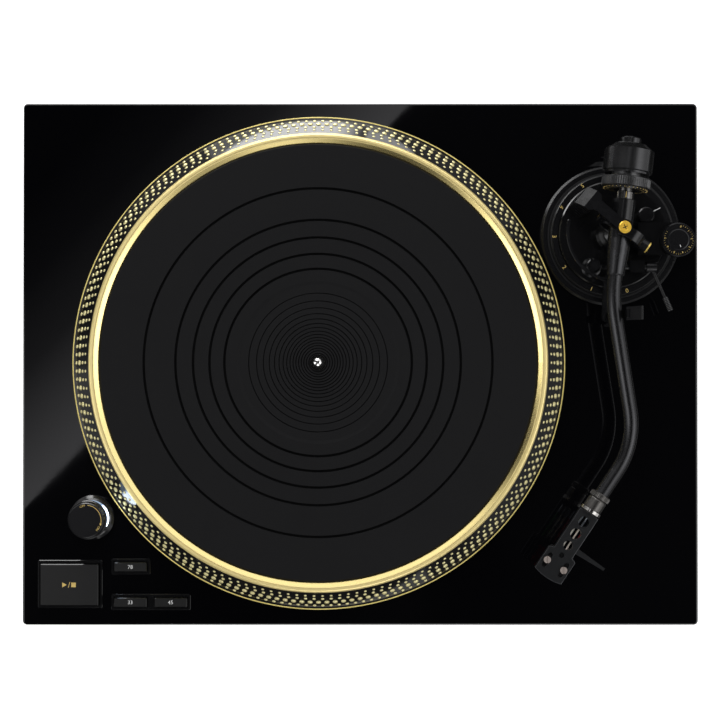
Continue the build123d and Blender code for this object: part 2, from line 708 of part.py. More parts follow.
BEARING_TOP = HUB_Z - GAP
BEARING_BOTTOM = WELL_FLOOR - BEARING_DROP
BEARING_FLOOR = 4.0
BEARING_FLANGE = 3.0
BEARING_TAPER = 2.0
SPINDLE_BOTTOM = BEARING_BOTTOM + BEARING_FLOOR
bearing = turned(
    PLATTER_X, PLATTER_Y,
    [(0, BEARING_BOTTOM), (BEARING_R, BEARING_BOTTOM), (BEARING_R, WELL_FLOOR),
     (BEARING_FLANGE_R, WELL_FLOOR), (BEARING_FLANGE_R, WELL_FLOOR + BEARING_FLANGE),
     (BEARING_R, WELL_FLOOR + BEARING_FLANGE + BEARING_TAPER), (BEARING_R, BEARING_TOP),
     (SPINDLE_R + RUN, BEARING_TOP), (SPINDLE_R + RUN, SPINDLE_BOTTOM), (0, SPINDLE_BOTTOM)],
)
save(bearing, "motor_bearing")

# ================= platter =================

SPINDLE_TOP = MAT_TOP + SPINDLE_ABOVE_MAT
SPINDLE_SEAT_R = 14.0
SPINDLE_SEAT = 3.0
SPINDLE_STEP = 0.1  # of the thick shaft below the mat's dish
NOSE_POINTS = ((0.9, 0.55), (0.66, 0.225), (0.33, 0.05))  # shares of the radius and of the nose
SEAT_Z = HUB_Z + SPINDLE_SEAT
SHAFT_STEP = MAT_TOP - DISH_DROP - SPINDLE_STEP
spindle = turned(
    PLATTER_X, PLATTER_Y,
    [(0, SPINDLE_BOTTOM), (SPINDLE_R, SPINDLE_BOTTOM), (SPINDLE_R, HUB_Z), (SPINDLE_SEAT_R, HUB_Z),
     (SPINDLE_SEAT_R, SEAT_Z), (SHAFT_THICK_R, SEAT_Z), (SHAFT_THICK_R, SHAFT_STEP), (SPINDLE_R, SHAFT_STEP),
     (SPINDLE_R, SPINDLE_TOP - SPINDLE_NOSE)]
    + [(SPINDLE_R * share, SPINDLE_TOP - SPINDLE_NOSE * down) for share, down in NOSE_POINTS]
    + [(0, SPINDLE_TOP)],
)
save(spindle, "spindle")

MAGNET_SEAT_W = 12.0
MAGNET_TAPER = 2.0
BOSS_IN = MAGNET_OUT_R - MAGNET_SEAT_W
HUB_TAPER = 3.0
MAT_FLOOR = MAT_TOP - MAT_THICK
FLANGE_W = 8.0  # inside the foot of the band
SKIRT_TAPER = 2.0
FLANGE_IN_R = BAND_FOOT_R - FLANGE_W
PLATTER_EDGE = 0.5  # small bevels
platter = turned(
    PLATTER_X, PLATTER_Y,
    [(SHAFT_THICK_R + FIT, SEAT_Z), (HUB_R, SEAT_Z), (HUB_R + HUB_TAPER, WEB_Z), (BOSS_IN, WEB_Z),
     (BOSS_IN, MAGNET_Z + MAGNET_THICK), (MAGNET_OUT_R, MAGNET_Z + MAGNET_THICK),
     (MAGNET_OUT_R + MAGNET_TAPER, WEB_Z), (RIM_IN_R - PLATTER_WALL, WEB_Z),
     (FLANGE_IN_R, FLANGE_LOW + SKIRT_TAPER), (FLANGE_IN_R, FLANGE_LOW),
     (FLANGE_R - PLATTER_EDGE, FLANGE_LOW), (FLANGE_R, FLANGE_LOW + PLATTER_EDGE),
     (FLANGE_R, FLANGE_HIGH - PLATTER_EDGE), (FLANGE_R - PLATTER_EDGE, FLANGE_HIGH),
     (BAND_FOOT_R, FLANGE_HIGH), (BAND_TOP_R, RIM_HIGH - 2.4 * PLATTER_EDGE),
     (BAND_TOP_R - PLATTER_EDGE, RIM_HIGH - 0.8 * PLATTER_EDGE),
     (BAND_TOP_R - 2.6 * PLATTER_EDGE, RIM_HIGH), (RIM_IN_R + 0.8 * PLATTER_EDGE, RIM_HIGH),
     (RIM_IN_R, RIM_HIGH - 1.2 * PLATTER_EDGE),
     (MAT_R + GAP, RIM_HIGH - 1.2 * PLATTER_EDGE - BEVEL_DROP),
     (MAT_R + GAP, MAT_FLOOR), (SHAFT_THICK_R + FIT, MAT_FLOOR)],
)
save(platter, "platter")

magnet = turned(
    PLATTER_X, PLATTER_Y,
    [(MAGNET_IN_R, MAGNET_Z), (MAGNET_OUT_R, MAGNET_Z), (MAGNET_OUT_R, MAGNET_Z + MAGNET_THICK),
     (MAGNET_IN_R, MAGNET_Z + MAGNET_THICK)],
)
save(magnet, "rotor_magnet")

FINE_HALF = 0.35
FINE_DEEP = 0.4
WIDE_HALF = 0.9
WIDE_DEEP = 0.9
DISH_SLOPE = 1.0
MAT_EDGE = 0.8
mat_face = [(MAT_HOLE_R, MAT_FLOOR), (MAT_HOLE_R, MAT_TOP - DISH_DROP)]
last_groove = FINE_GROOVES - 1
extra_reach = DISH_R - FINE_INSET - FINE_FIRST - FINE_STEP * last_groove
for i in range(FINE_GROOVES):
    # The grooves stand further apart towards the dish's edge.
    radius = FINE_FIRST + FINE_STEP * i + extra_reach * (i / last_groove) ** 4
    mat_face += [
        (radius - FINE_HALF, MAT_TOP - DISH_DROP),
        (radius, MAT_TOP - DISH_DROP - FINE_DEEP),
        (radius + FINE_HALF, MAT_TOP - DISH_DROP),
    ]
mat_face += [(DISH_R - DISH_SLOPE, MAT_TOP - DISH_DROP), (DISH_R + DISH_SLOPE, MAT_TOP)]
for radius in WIDE_GROOVES:
    mat_face += [
        (radius - WIDE_HALF, MAT_TOP),
        (radius - WIDE_HALF * 0.5, MAT_TOP - WIDE_DEEP),
        (radius + WIDE_HALF * 0.5, MAT_TOP - WIDE_DEEP),
        (radius + WIDE_HALF, MAT_TOP),
    ]
mat_face += [(MAT_R - MAT_EDGE, MAT_TOP), (MAT_R, MAT_TOP - MAT_EDGE), (MAT_R, MAT_FLOOR)]
platter_mat = turned(PLATTER_X, PLATTER_Y, mat_face)
save(platter_mat, "platter_mat")

# ================= keys and strobe tower =================

BEZEL_BEVEL = 0.35
for name, (x, y, w, d, keys) in BEZELS.items():
    with BuildPart() as bezel:
        with BuildSketch(Plane.XY.offset(TOP)):
            with Locations((x, y)):
                RectangleRounded(w + 2 * BEZEL_RIM, d + 2 * BEZEL_RIM, BEZEL_CORNER)
        extrude(amount=BEZEL_HIGH)
        chamfer(bezel.faces().sort_by(Axis.Z)[-1].edges(), BEZEL_BEVEL)
        with BuildSketch(Plane.XY.offset(TOP)):
            with Locations((x, y)):
                RectangleRounded(w + BEZEL_RIM - 2 * FIT, d + BEZEL_RIM - 2 * FIT, BEZEL_CORNER)
        extrude(amount=-BEZEL_DEEP)
        with BuildSketch(Plane.XY.offset(TOP + BEZEL_HIGH)):
            for key in keys:
                with Locations(KEYS[key][:2]):
                    Rectangle(KEYS[key][2] + 2 * GAP, KEYS[key][3] + 2 * GAP)
        extrude(amount=-BEZEL_DEEP - BEZEL_HIGH, mode=Mode.SUBTRACT)
    save(bezel, name)

KEY_LIP = 1.0
KEY_FLANGE = 1.5
KEY_CORNER = 0.8
KEY_BEVEL = 0.5
PLUNGER_R = 2.0
SWITCH_W = 6.0
SWITCH_H = 3.4
PLUNGER_Z = CONTROL_Z + BOARD_THICK + SWITCH_H + KEY_TRAVEL + GAP / 2
for name, (x, y, w, d, high) in KEYS.items():
    with BuildPart() as key:
        with BuildSketch(Plane.XY.offset(KEY_FLANGE_Z - KEY_FLANGE)):
            with Locations((x, y)):
                Rectangle(w + 2 * GAP + KEY_LIP, d + 2 * GAP + KEY_LIP)
        extrude(amount=KEY_FLANGE)
        with BuildSketch(Plane.XY.offset(KEY_FLANGE_Z)):
            with Locations((x, y)):
                RectangleRounded(w, d, KEY_CORNER)
        extrude(amount=TOP + high - KEY_FLANGE_Z)
        chamfer(key.faces().sort_by(Axis.Z)[-1].edges(), KEY_BEVEL)
        with BuildSketch(Plane.XY.offset(PLUNGER_Z)):
            with Locations((x, y)):
                Circle(PLUNGER_R)
        extrude(amount=KEY_FLANGE_Z - KEY_FLANGE - PLUNGER_Z)
    save(key, name)

with BuildPart() as control_board:
    with BuildSketch(Plane.XY.offset(CONTROL_Z)):
        with Locations((CONTROL_X, CONTROL_Y)):
            Rectangle(CONTROL_W, CONTROL_D)
    extrude(amount=BOARD_THICK)
    with BuildSketch(Plane.XY.offset(CONTROL_Z + BOARD_THICK)):
        for x, y, w, d, high in KEYS.values():
            with Locations((x, y)):
                Rectangle(SWITCH_W, SWITCH_W)
    extrude(amount=SWITCH_H)
save(control_board, "control_board")

LENS_TURN = degrees(atan2(PLATTER_Y - TOWER_Y, PLATTER_X - TOWER_X))
LENS_HIGH = KNOB_LOW - GAP
KNOB_SHAFT_R = 2.5
KNOB_SHAFT_END = 2.0  # below the tower
KNOB_BEVEL = 0.6
KNOB_BAND = 4.0  # upright part of the knob's side
TOWER_DROP = 8.0
TOWER_BEVEL = 1.8
TOWER_STEP = 1.2
LAMP_THICK = 2.9
LAMP_GAP = 0.4
LAMP_ROOM = 0.2
LAMP_HIGH = 6.0
LAMP_HALF_ANGLE = 24.0
LENS_PROUD = 0.6
LENS_ROOF = 1.0
LENS_SLACK = 1.0  # degrees


REACH_SCALE = 3  # the cutting triangle reaches this many radii out


def lens_wedge(inner, outer, half_angle, low, high):
    """The part of the tower that faces the platter, as a piece of a ring."""
    with BuildPart() as wedge:
        with BuildSketch(Plane.XY.offset(low)):
            with Locations((TOWER_X, TOWER_Y)):
                Circle(outer)
                Circle(inner, mode=Mode.SUBTRACT)
            with BuildLine():
                reach = REACH_SCALE * outer
                corners = [(TOWER_X, TOWER_Y)]
                for turn in (-half_angle, 0, half_angle):
                    direction = radians(LENS_TURN + turn)
                    corners.append((TOWER_X + reach * cos(direction), TOWER_Y + reach * sin(direction)))
                Polyline(*corners, close=True)
            make_face(mode=Mode.INTERSECT)
        extrude(amount=high - low)
    return wedge


tower_body = turned(
    TOWER_X, TOWER_Y,
    [(KNOB_SHAFT_R + RUN, TOP - TOWER_DROP), (COLUMN_R - 2 * FIT, TOP - TOWER_DROP),
     (COLUMN_R - 2 * FIT, TOP), (TOWER_R, TOP), (TOWER_R, TOP + TOWER_FOOT - TOWER_BEVEL),
     (TOWER_R - TOWER_BEVEL, TOP + TOWER_FOOT),
     (COLUMN_R, TOP + TOWER_FOOT + TOWER_STEP), (COLUMN_R, LENS_HIGH), (KNOB_SHAFT_R + RUN, LENS_HIGH)],
).part
LAMP_OUT_R = LENS_IN_R - LAMP_GAP
LAMP_IN_R = LAMP_OUT_R - LAMP_THICK
LENS_OUT_R = COLUMN_R + LENS_PROUD
lens_room = lens_wedge(
    LAMP_IN_R - LAMP_ROOM, LENS_OUT_R, LENS_HALF_ANGLE, LENS_LOW, LENS_HIGH - LENS_ROOF
).part
with BuildPart() as strobe_housing:
    add(tower_body)
    add(lens_room, mode=Mode.SUBTRACT)
save(strobe_housing, "strobe_housing")

strobe_lens = lens_wedge(
    LENS_IN_R, LENS_OUT_R, LENS_HALF_ANGLE - LENS_SLACK, LENS_LOW, LENS_HIGH - LENS_ROOF
)
save(strobe_lens, "strobe_lens")
strobe_lamp = lens_wedge(LAMP_IN_R, LAMP_OUT_R, LAMP_HALF_ANGLE, LENS_LOW, LENS_LOW + LAMP_HIGH)
save(strobe_lamp, "strobe_lamp")

KNOB_SHAFT_LOW = TOP - TOWER_DROP - KNOB_SHAFT_END
power_knob = turned(
    TOWER_X, TOWER_Y,
    [(0, KNOB_SHAFT_LOW), (KNOB_SHAFT_R, KNOB_SHAFT_LOW), (KNOB_SHAFT_R, KNOB_LOW),
     (KNOB_R - KNOB_BEVEL, KNOB_LOW), (KNOB_R, KNOB_LOW + KNOB_BEVEL),
     (KNOB_R, KNOB_LOW + KNOB_BAND - KNOB_BEVEL), (KNOB_R - KNOB_BEVEL, KNOB_LOW + KNOB_BAND),
     (KNOB_TOP_R, KNOB_HIGH - KNOB_BEVEL), (KNOB_TOP_R - KNOB_BEVEL, KNOB_HIGH), (0, KNOB_HIGH)],
)
save(power_knob, "power_knob")

# ================= tonearm base =================

RING_BEVEL = 1.5
RING_FLOOR = 1.0
HEIGHT_RING_BEVEL = 1.2
base_ring = turned(
    PIVOT_X, PIVOT_Y,
    [(BARREL_R + RUN, TOP - BARREL_DROP), (BARREL_R + BARREL_WALL, TOP - BARREL_DROP),
     (BARREL_R + BARREL_WALL, TOP), (RING_OUT_R, TOP), (RING_OUT_R, TOP + RING_HIGH - RING_BEVEL),
     (RING_OUT_R - RING_BEVEL, TOP + RING_HIGH), (HEIGHT_RING_R + GAP, TOP + RING_HIGH),
     (HEIGHT_RING_R + GAP, TOP + RING_FLOOR), (BARREL_R + RUN, TOP + RING_FLOOR)],
)
save(base_ring, "arm_base_ring")

height_ring = turned(
    PIVOT_X, PIVOT_Y,
    [(BARREL_R + GAP, TOP + RING_FLOOR), (HEIGHT_RING_R, TOP + RING_FLOOR),
     (HEIGHT_RING_R, TOP + HEIGHT_RING_HIGH - HEIGHT_RING_BEVEL),
     (HEIGHT_RING_R - HEIGHT_RING_BEVEL, TOP + HEIGHT_RING_HIGH), (BARREL_R + GAP, TOP + HEIGHT_RING_HIGH)],
)
save(height_ring, "height_ring")

PEDESTAL_TOP = ARM_Z - FRAME_HALF_H
PIN_DEEP = 5.0
PLATFORM_BEVEL = 0.8
PEDESTAL_SHAPE = ((0.0, 9.0), (1.5, 5.5), (4.5, 2.5), (9.0, 0.6))  # in from the side, down from the top
DIAL_SEAT = 2.0  # between the shelf and the anti-skate dial
SHELF_Z = ANTISKATE_LOW - SHELF_THICK - DIAL_SEAT
SHELF_EDGE = -14.8  # the shelf's straight front edge, from the pivot
SHELF_FROM = 14.0
SHELF_BACK = 6.5
SHELF_W = SHELF_BACK - SHELF_EDGE
SHELF_MID = (SHELF_BACK + SHELF_EDGE) / 2
SHELF_BLOCK = 14.0
CUE_BLOCK_W = 10.0
CUE_BLOCK_D = 8.0
CUE_BLOCK_INSET = 11.0
CUE_BLOCK_ROOF = 4.0
platform_body = turned(
    PIVOT_X, PIVOT_Y,
    [(BARREL_R - BARREL_WALL, TOP - BARREL_DROP), (BARREL_R, TOP - BARREL_DROP),
     (BARREL_R, PLATFORM_Z - PLATFORM_BEVEL), (BARREL_R - PLATFORM_BEVEL, PLATFORM_Z),
     (PEDESTAL_R, PLATFORM_Z)]
    + [(PEDESTAL_R - inwards, PEDESTAL_TOP - down) for inwards, down in PEDESTAL_SHAPE]
    + [(PEDESTAL_R - PEDESTAL_SHAPE[-1][0], PEDESTAL_TOP),
       (PIN_R + RUN, PEDESTAL_TOP), (PIN_R + RUN, PEDESTAL_TOP - PIN_DEEP - GAP),
       (0, PEDESTAL_TOP - PIN_DEEP - GAP), (0, PLATFORM_Z - PLATFORM_SKIN),
       (BARREL_R - BARREL_WALL, PLATFORM_Z - PLATFORM_SKIN)],
).part
with BuildPart() as arm_platform:
    add(platform_body)
    # raised shelf for the anti-skate dial, on a block that stands on the platform
    with BuildSketch(Plane.XY.offset(SHELF_Z)):
        with Locations(near_pivot(((SHELF_FROM + ANTISKATE[0]) / 2, SHELF_MID))):
            Rectangle(ANTISKATE[0] - SHELF_FROM, SHELF_W)
        with Locations(near_pivot((ANTISKATE[0], SHELF_MID))):
            Circle(SHELF_W / 2)
    extrude(amount=SHELF_THICK)
    with BuildSketch(Plane.XY.offset(PLATFORM_Z)):
        with Locations(near_pivot((SHELF_FROM + SHELF_BLOCK / 2, SHELF_MID))):
            Rectangle(SHELF_BLOCK, SHELF_W)
    extrude(amount=SHELF_Z - PLATFORM_Z)
    # block for the cue lever's shaft, and holes for the lock knob and the two shafts
    with BuildSketch(Plane.XY.offset(PLATFORM_Z)):
        with Locations(near_pivot((CUE_RIGHT - CUE_BLOCK_INSET, LIFT_POST[1]))):
            Rectangle(CUE_BLOCK_W, CUE_BLOCK_D)
    extrude(amount=CUE_Z - PLATFORM_Z + CUE_BLOCK_ROOF)
    with BuildSketch(Plane.XY.offset(PLATFORM_Z)):
        with Locations(near_pivot(LOCK)):
            Circle(PIN_R + RUN)
    extrude(amount=-PLATFORM_SKIN, mode=Mode.SUBTRACT)
    with BuildSketch(Plane.YZ.offset(PIVOT_X)):
        with Locations((PIVOT_Y + LIFT_POST[1], CUE_Z)):
            Circle(CUE_SHAFT_R + RUN)
    extrude(amount=CUE_RIGHT, mode=Mode.SUBTRACT)
    with BuildSketch(Plane.XY.offset(SHELF_Z)):
        with Locations(near_pivot(ANTISKATE)):
            Circle(PIN_R + RUN)
    extrude(amount=SHELF_THICK, mode=Mode.SUBTRACT)
save(arm_platform, "arm_platform")

yoke_side = Plane(
    origin=(PIVOT_X, PIVOT_Y, 0),
    x_dir=(cos(radians(YOKE_TURN)), sin(radians(YOKE_TURN)), 0),
    z_dir=(sin(radians(YOKE_TURN)), -cos(radians(YOKE_TURN)), 0),
)
YOKE_TIP = -6.0
YOKE_FLARE = 3.0  # where the beam widens to the post
YOKE_LEAN = 0.5
YOKE_SHOULDER = 6.0
YOKE_SLOPE = 7.0
YOKE_ARCH = 4.0
YOKE_ROUND = 0.8
YOKE_BACK = 1.0
YOKE_WIDENS = YOKE_POST_IN - YOKE_BACK
with BuildPart() as gimbal_yoke:
    with BuildSketch(yoke_side):
        with BuildLine():
            Polyline(
                (YOKE_POST_IN, PLATFORM_Z), (YOKE_POST_OUT, PLATFORM_Z),
                (YOKE_POST_OUT - YOKE_LEAN, YOKE_LOW - YOKE_SHOULDER),
                (YOKE_POST_OUT - YOKE_SLOPE, YOKE_HIGH), (YOKE_TIP, YOKE_HIGH), (YOKE_TIP, YOKE_LOW),
                (YOKE_POST_IN - YOKE_ARCH, YOKE_LOW),
                (YOKE_POST_IN, YOKE_LOW - YOKE_ARCH), close=True,
            )
        make_face()
    extrude(amount=YOKE_POST_W / 2, both=True)
    with BuildSketch(Plane(origin=(PIVOT_X, PIVOT_Y, TOP), x_dir=yoke_side.x_dir, z_dir=(0, 0, 1))):
        with BuildLine():
            Polyline(
                (0, -YOKE_BEAM_W / 2), (YOKE_WIDENS, -YOKE_BEAM_W / 2),
                (YOKE_WIDENS + YOKE_FLARE, -YOKE_POST_W / 2), (YOKE_POST_OUT - YOKE_BACK, -YOKE_POST_W / 2),
                (YOKE_POST_OUT - YOKE_BACK, YOKE_POST_W / 2), (YOKE_WIDENS + YOKE_FLARE, YOKE_POST_W / 2),
                (YOKE_WIDENS, YOKE_BEAM_W / 2), (0, YOKE_BEAM_W / 2), close=True,
            )
        make_face()
        Circle(-YOKE_TIP - YOKE_ROUND)
    extrude(amount=ARM_Z, mode=Mode.INTERSECT)
    with BuildSketch(Plane.XY.offset(YOKE_LOW)):
        with Locations((PIVOT_X, PIVOT_Y)):
            Circle(PIN_R + FIT)
    extrude(amount=YOKE_HIGH - YOKE_LOW, mode=Mode.SUBTRACT)
save(gimbal_yoke, "gimbal_yoke")

FRAME_TOP = ARM_Z + FRAME_HALF_H
PIN_BITE = 1.8
CAP_BEVEL = 0.6
CAP_RIM = 1.6
CAP_DISH = 0.4
pivot_cap = turned(
    PIVOT_X, PIVOT_Y,
    [(0, FRAME_TOP - PIN_BITE), (PIN_R, FRAME_TOP - PIN_BITE), (PIN_R, YOKE_HIGH), (CAP_R, YOKE_HIGH),
     (CAP_R, CAP_HIGH - CAP_BEVEL), (CAP_R - CAP_BEVEL, CAP_HIGH), (CAP_R - CAP_RIM, CAP_HIGH),
     (CAP_R - CAP_RIM - CAP_DISH, CAP_HIGH - CAP_DISH), (0, CAP_HIGH - CAP_DISH)],
)
save(pivot_cap, "pivot_cap")

# ================= gimbal =================

frame_plane = Plane(
    origin=(PIVOT_X, PIVOT_Y, ARM_Z), x_dir=(*TILT_DIR, 0), z_dir=(TILT_DIR[1], -TILT_DIR[0], 0)
)
across = Plane(origin=(PIVOT_X, PIVOT_Y, ARM_Z), x_dir=(0, 0, 1), z_dir=(*TILT_DIR, 0))
FRAME_IN_W = FRAME_HALF_W - FRAME_CHEEK
FRAME_IN_H = FRAME_HALF_H - FRAME_BAR
HOUSING_LEFT = 17.0  # end of the bearing housing on the record's side
FRAME_CORNER = 8.5
FRAME_IN_CORNER = 6.5
SMALL_HOUSING_R = 3.2
PIN_SEAT = 1.9  # depth of the lower pin's seat in the frame
PIN_SLACK = 0.1
with BuildPart() as gimbal_frame:
    with BuildSketch(frame_plane):
        RectangleRounded(2 * FRAME_HALF_W, 2 * FRAME_HALF_H, FRAME_CORNER)
        RectangleRounded(2 * FRAME_IN_W, 2 * FRAME_IN_H, FRAME_IN_CORNER, mode=Mode.SUBTRACT)
    extrude(amount=FRAME_DEEP / 2, both=True)
    with BuildSketch(across.offset(FRAME_IN_W)):
        Circle(HOUSING_R)
    extrude(amount=HOUSING_END - FRAME_IN_W)
    with BuildSketch(across.offset(-FRAME_IN_W)):
        Circle(SMALL_HOUSING_R)
    extrude(amount=-(HOUSING_LEFT - FRAME_IN_W))
    with BuildSketch(across.offset(-HOUSING_LEFT)):
        Circle(PIN_R + FIT)
    extrude(amount=HOUSING_LEFT + HOUSING_END, mode=Mode.SUBTRACT)
    with BuildSketch(Plane.XY.offset(FRAME_TOP - PIN_BITE - PIN_SLACK)):
        with Locations((PIVOT_X, PIVOT_Y)):
            Circle(PIN_R + RUN)
    extrude(amount=PIN_BITE + PIN_SLACK, mode=Mode.SUBTRACT)
    with BuildSketch(Plane.XY.offset(PEDESTAL_TOP)):
        with Locations((PIVOT_X, PIVOT_Y)):
            Circle(PIN_R + FIT)
    extrude(amount=PIN_SEAT, mode=Mode.SUBTRACT)
save(gimbal_frame, "gimbal_frame")

PIN_TIP = 5.6
TIP_RING = 0.9
with BuildPart() as gimbal_pins:
    with BuildSketch(across.offset(PIN_TIP)):
        Circle(PIN_R)
    extrude(amount=HOUSING_END - PIN_TIP)
    with BuildSketch(across.offset(HOUSING_END)):
        Circle(HOUSING_R)
    extrude(amount=TIP_RING)
    with BuildSketch(across.offset(-PIN_TIP)):
        Circle(PIN_R)
    extrude(amount=-(HOUSING_LEFT - PIN_TIP))
    with BuildSketch(Plane.XY.offset(PEDESTAL_TOP - PIN_DEEP)):
        with Locations((PIVOT_X, PIVOT_Y)):
            Circle(PIN_R)
    extrude(amount=PIN_DEEP + PIN_SEAT)
save(gimbal_pins, "gimbal_pins")

# ================= tonearm =================

TUBE_BITE = 2.0  # of the tube into the cone
tube_from = CONE_LENGTH - TUBE_BITE
tube_start = near_pivot((-tube_from * ARM_REAR[0], -tube_from * ARM_REAR[1]))
bend_1 = near_pivot(TUBE_BEND_1)
bend_2 = near_pivot(TUBE_BEND_2)
TUBE_SHORT = 1.0  # the tube stops this far behind the headshell's shoulder
tube_end = (HEAD_X - TUBE_SHORT * HEAD_DIR[0], HEAD_Y - TUBE_SHORT * HEAD_DIR[1])
start_plane = Plane(origin=(*tube_start, ARM_Z), x_dir=(0, 0, 1), z_dir=(-ARM_REAR[0], -ARM_REAR[1], 0))


def along_tube(radius):
    """A rod of the given radius that follows the tonearm's curve."""
    with BuildPart() as rod:
        with BuildLine() as path:
            FilletPolyline(
                (*tube_start, ARM_Z), (*bend_1, ARM_Z), (*bend_2, ARM_Z), (*tube_end, ARM_Z),
                radius=[TUBE_RADIUS_1, TUBE_RADIUS_2],
            )
        with BuildSketch(start_plane):
            Circle(radius)
        sweep(path=path.wire())
    return rod


STUB_FROM = 5.544
CONE_SHAPE = ((STUB_FROM, 0.2), (2.0, 0.0), (-6.0, 0.0), (-14.0, 0.55))  # along, in from the hub's side
CONE_EDGE = 0.5
cone = turned_on_arm(
    [(STUB_FROM, 0)]
    + [(along, HUB_SIZE_R - inwards) for along, inwards in CONE_SHAPE]
    + [(-CONE_LENGTH + 2 * CONE_EDGE, CONE_END_R), (-CONE_LENGTH, CONE_END_R - CONE_EDGE),
       (-CONE_LENGTH, 0)]
).part
tube_skin = along_tube(TUBE_R).part
tube_bore = along_tube(TUBE_BORE_R).part
with BuildPart() as arm_tube:
    add(cone)
    add(tube_skin)
    add(tube_bore, mode=Mode.SUBTRACT)
    for side in (-1, 1):
        with BuildSketch(across.offset(side * (PIN_TIP - GAP))):
            Circle(PIN_R + RUN)
        extrude(amount=side * HUB_SIZE_R, mode=Mode.SUBTRACT)
save(arm_tube, "arm_tube")

STUB_EDGE = 0.4  # small bevels along the rear of the arm
rear_stub = turned_on_arm(
    [(STUB_FROM, 0), (STUB_FROM, STUB_R - STUB_EDGE), (STUB_FROM + STUB_EDGE, STUB_R),
     (STUB_END - STUB_EDGE, STUB_R), (STUB_END, STUB_R - STUB_EDGE), (STUB_END, INDEX_R),
     (INDEX_END - STUB_EDGE, INDEX_R), (INDEX_END, INDEX_R - STUB_EDGE), (INDEX_END, SHAFT_R),
     (SHAFT_END, SHAFT_R), (SHAFT_END, 0)]
)
save(rear_stub, "rear_stub")

SHAFT_SLACK = 1.5  # between the shaft's end and the knob
REAR_KNOB_BEVEL = 0.8
sleeve = turned_on_arm(
    [(DIAL_FROM, SHAFT_R + RUN), (DIAL_FROM, SLEEVE_R), (WEIGHT_END, SLEEVE_R), (WEIGHT_END, REAR_KNOB_R),
     (KNOB_END - REAR_KNOB_BEVEL, REAR_KNOB_R), (KNOB_END, REAR_KNOB_R - REAR_KNOB_BEVEL), (KNOB_END, 0),
     (SHAFT_END + SHAFT_SLACK, 0), (SHAFT_END + SHAFT_SLACK, SHAFT_R + RUN)]
)
save(sleeve, "counterweight_sleeve")

DIAL_SHAPE = ((0.0, 2.2), (0.9, 1.2), (1.6, 0.0))  # along, in from the dial's side
DIAL_EDGE = 0.5
WEIGHT_STEP = 1.3  # shallow step at the weight's front face
WEIGHT_START = WEIGHT_FROM - WEIGHT_STEP
force_dial = turned_on_arm(
    [(DIAL_FROM, SLEEVE_R + RUN)]
    + [(DIAL_FROM + along, DIAL_FACE_R - inwards) for along, inwards in DIAL_SHAPE]
    + [(DIAL_TO - DIAL_EDGE, DIAL_FACE_R), (DIAL_TO, DIAL_FACE_R - DIAL_EDGE),
       (DIAL_TO, DIAL_HUB_R), (WEIGHT_START, DIAL_HUB_R), (WEIGHT_START, SLEEVE_R + RUN)]
)
save(force_dial, "force_dial")

counterweight = turned_on_arm(
    [(WEIGHT_START, SLEEVE_R + RUN), (WEIGHT_START, WEIGHT_R - WEIGHT_STEP),
     (WEIGHT_FROM, WEIGHT_R - WEIGHT_STEP), (WEIGHT_FROM + DIAL_EDGE, WEIGHT_R), (WEIGHT_TO, WEIGHT_R),
     (WEIGHT_END - DIAL_EDGE, WEIGHT_END_R + DIAL_EDGE), (WEIGHT_END, WEIGHT_END_R),
     (WEIGHT_END, SLEEVE_R + RUN)]
)
save(counterweight, "counterweight")

head_side = Plane(
    origin=(HEAD_X, HEAD_Y, ARM_Z), x_dir=(*HEAD_DIR, 0), z_dir=(-HEAD_DIR[1], HEAD_DIR[0], 0)
)


def turned_on_head(profile):
    """A piece turned about the headshell's axis from (distance, radius) points."""
    with BuildPart() as piece:
        with BuildSketch(head_side):
            with BuildLine():
                Polyline(*profile, close=True)
            make_face()
        revolve(axis=Axis(head_side.origin, head_side.x_dir))
    return piece


COLLAR_FRONT = -0.4
COLLAR_BACK = -COLLAR_LENGTH
COLLAR_EDGE = 0.5
REAR_RING_R = 6.6
REAR_RING = 3.6
REAR_GROOVE = 1.4
FRONT_RING = 2.6
headshell_collar = turned_on_head(
    [(COLLAR_BACK, TUBE_R + RUN), (COLLAR_BACK, REAR_RING_R - COLLAR_EDGE),
     (COLLAR_BACK + COLLAR_EDGE, REAR_RING_R), (COLLAR_BACK + REAR_RING, REAR_RING_R),
     (COLLAR_BACK + REAR_RING + COLLAR_EDGE, COLLAR_R - COLLAR_EDGE),
     (COLLAR_BACK + REAR_RING + REAR_GROOVE, COLLAR_R), (COLLAR_FRONT - FRONT_RING - COLLAR_EDGE, COLLAR_R),
     (COLLAR_FRONT - FRONT_RING, COLLAR_RING_R), (COLLAR_FRONT - COLLAR_EDGE, COLLAR_RING_R),
     (COLLAR_FRONT, COLLAR_RING_R - COLLAR_EDGE), (COLLAR_FRONT, TUBE_R + RUN)]
)
save(headshell_collar, "headshell_collar")

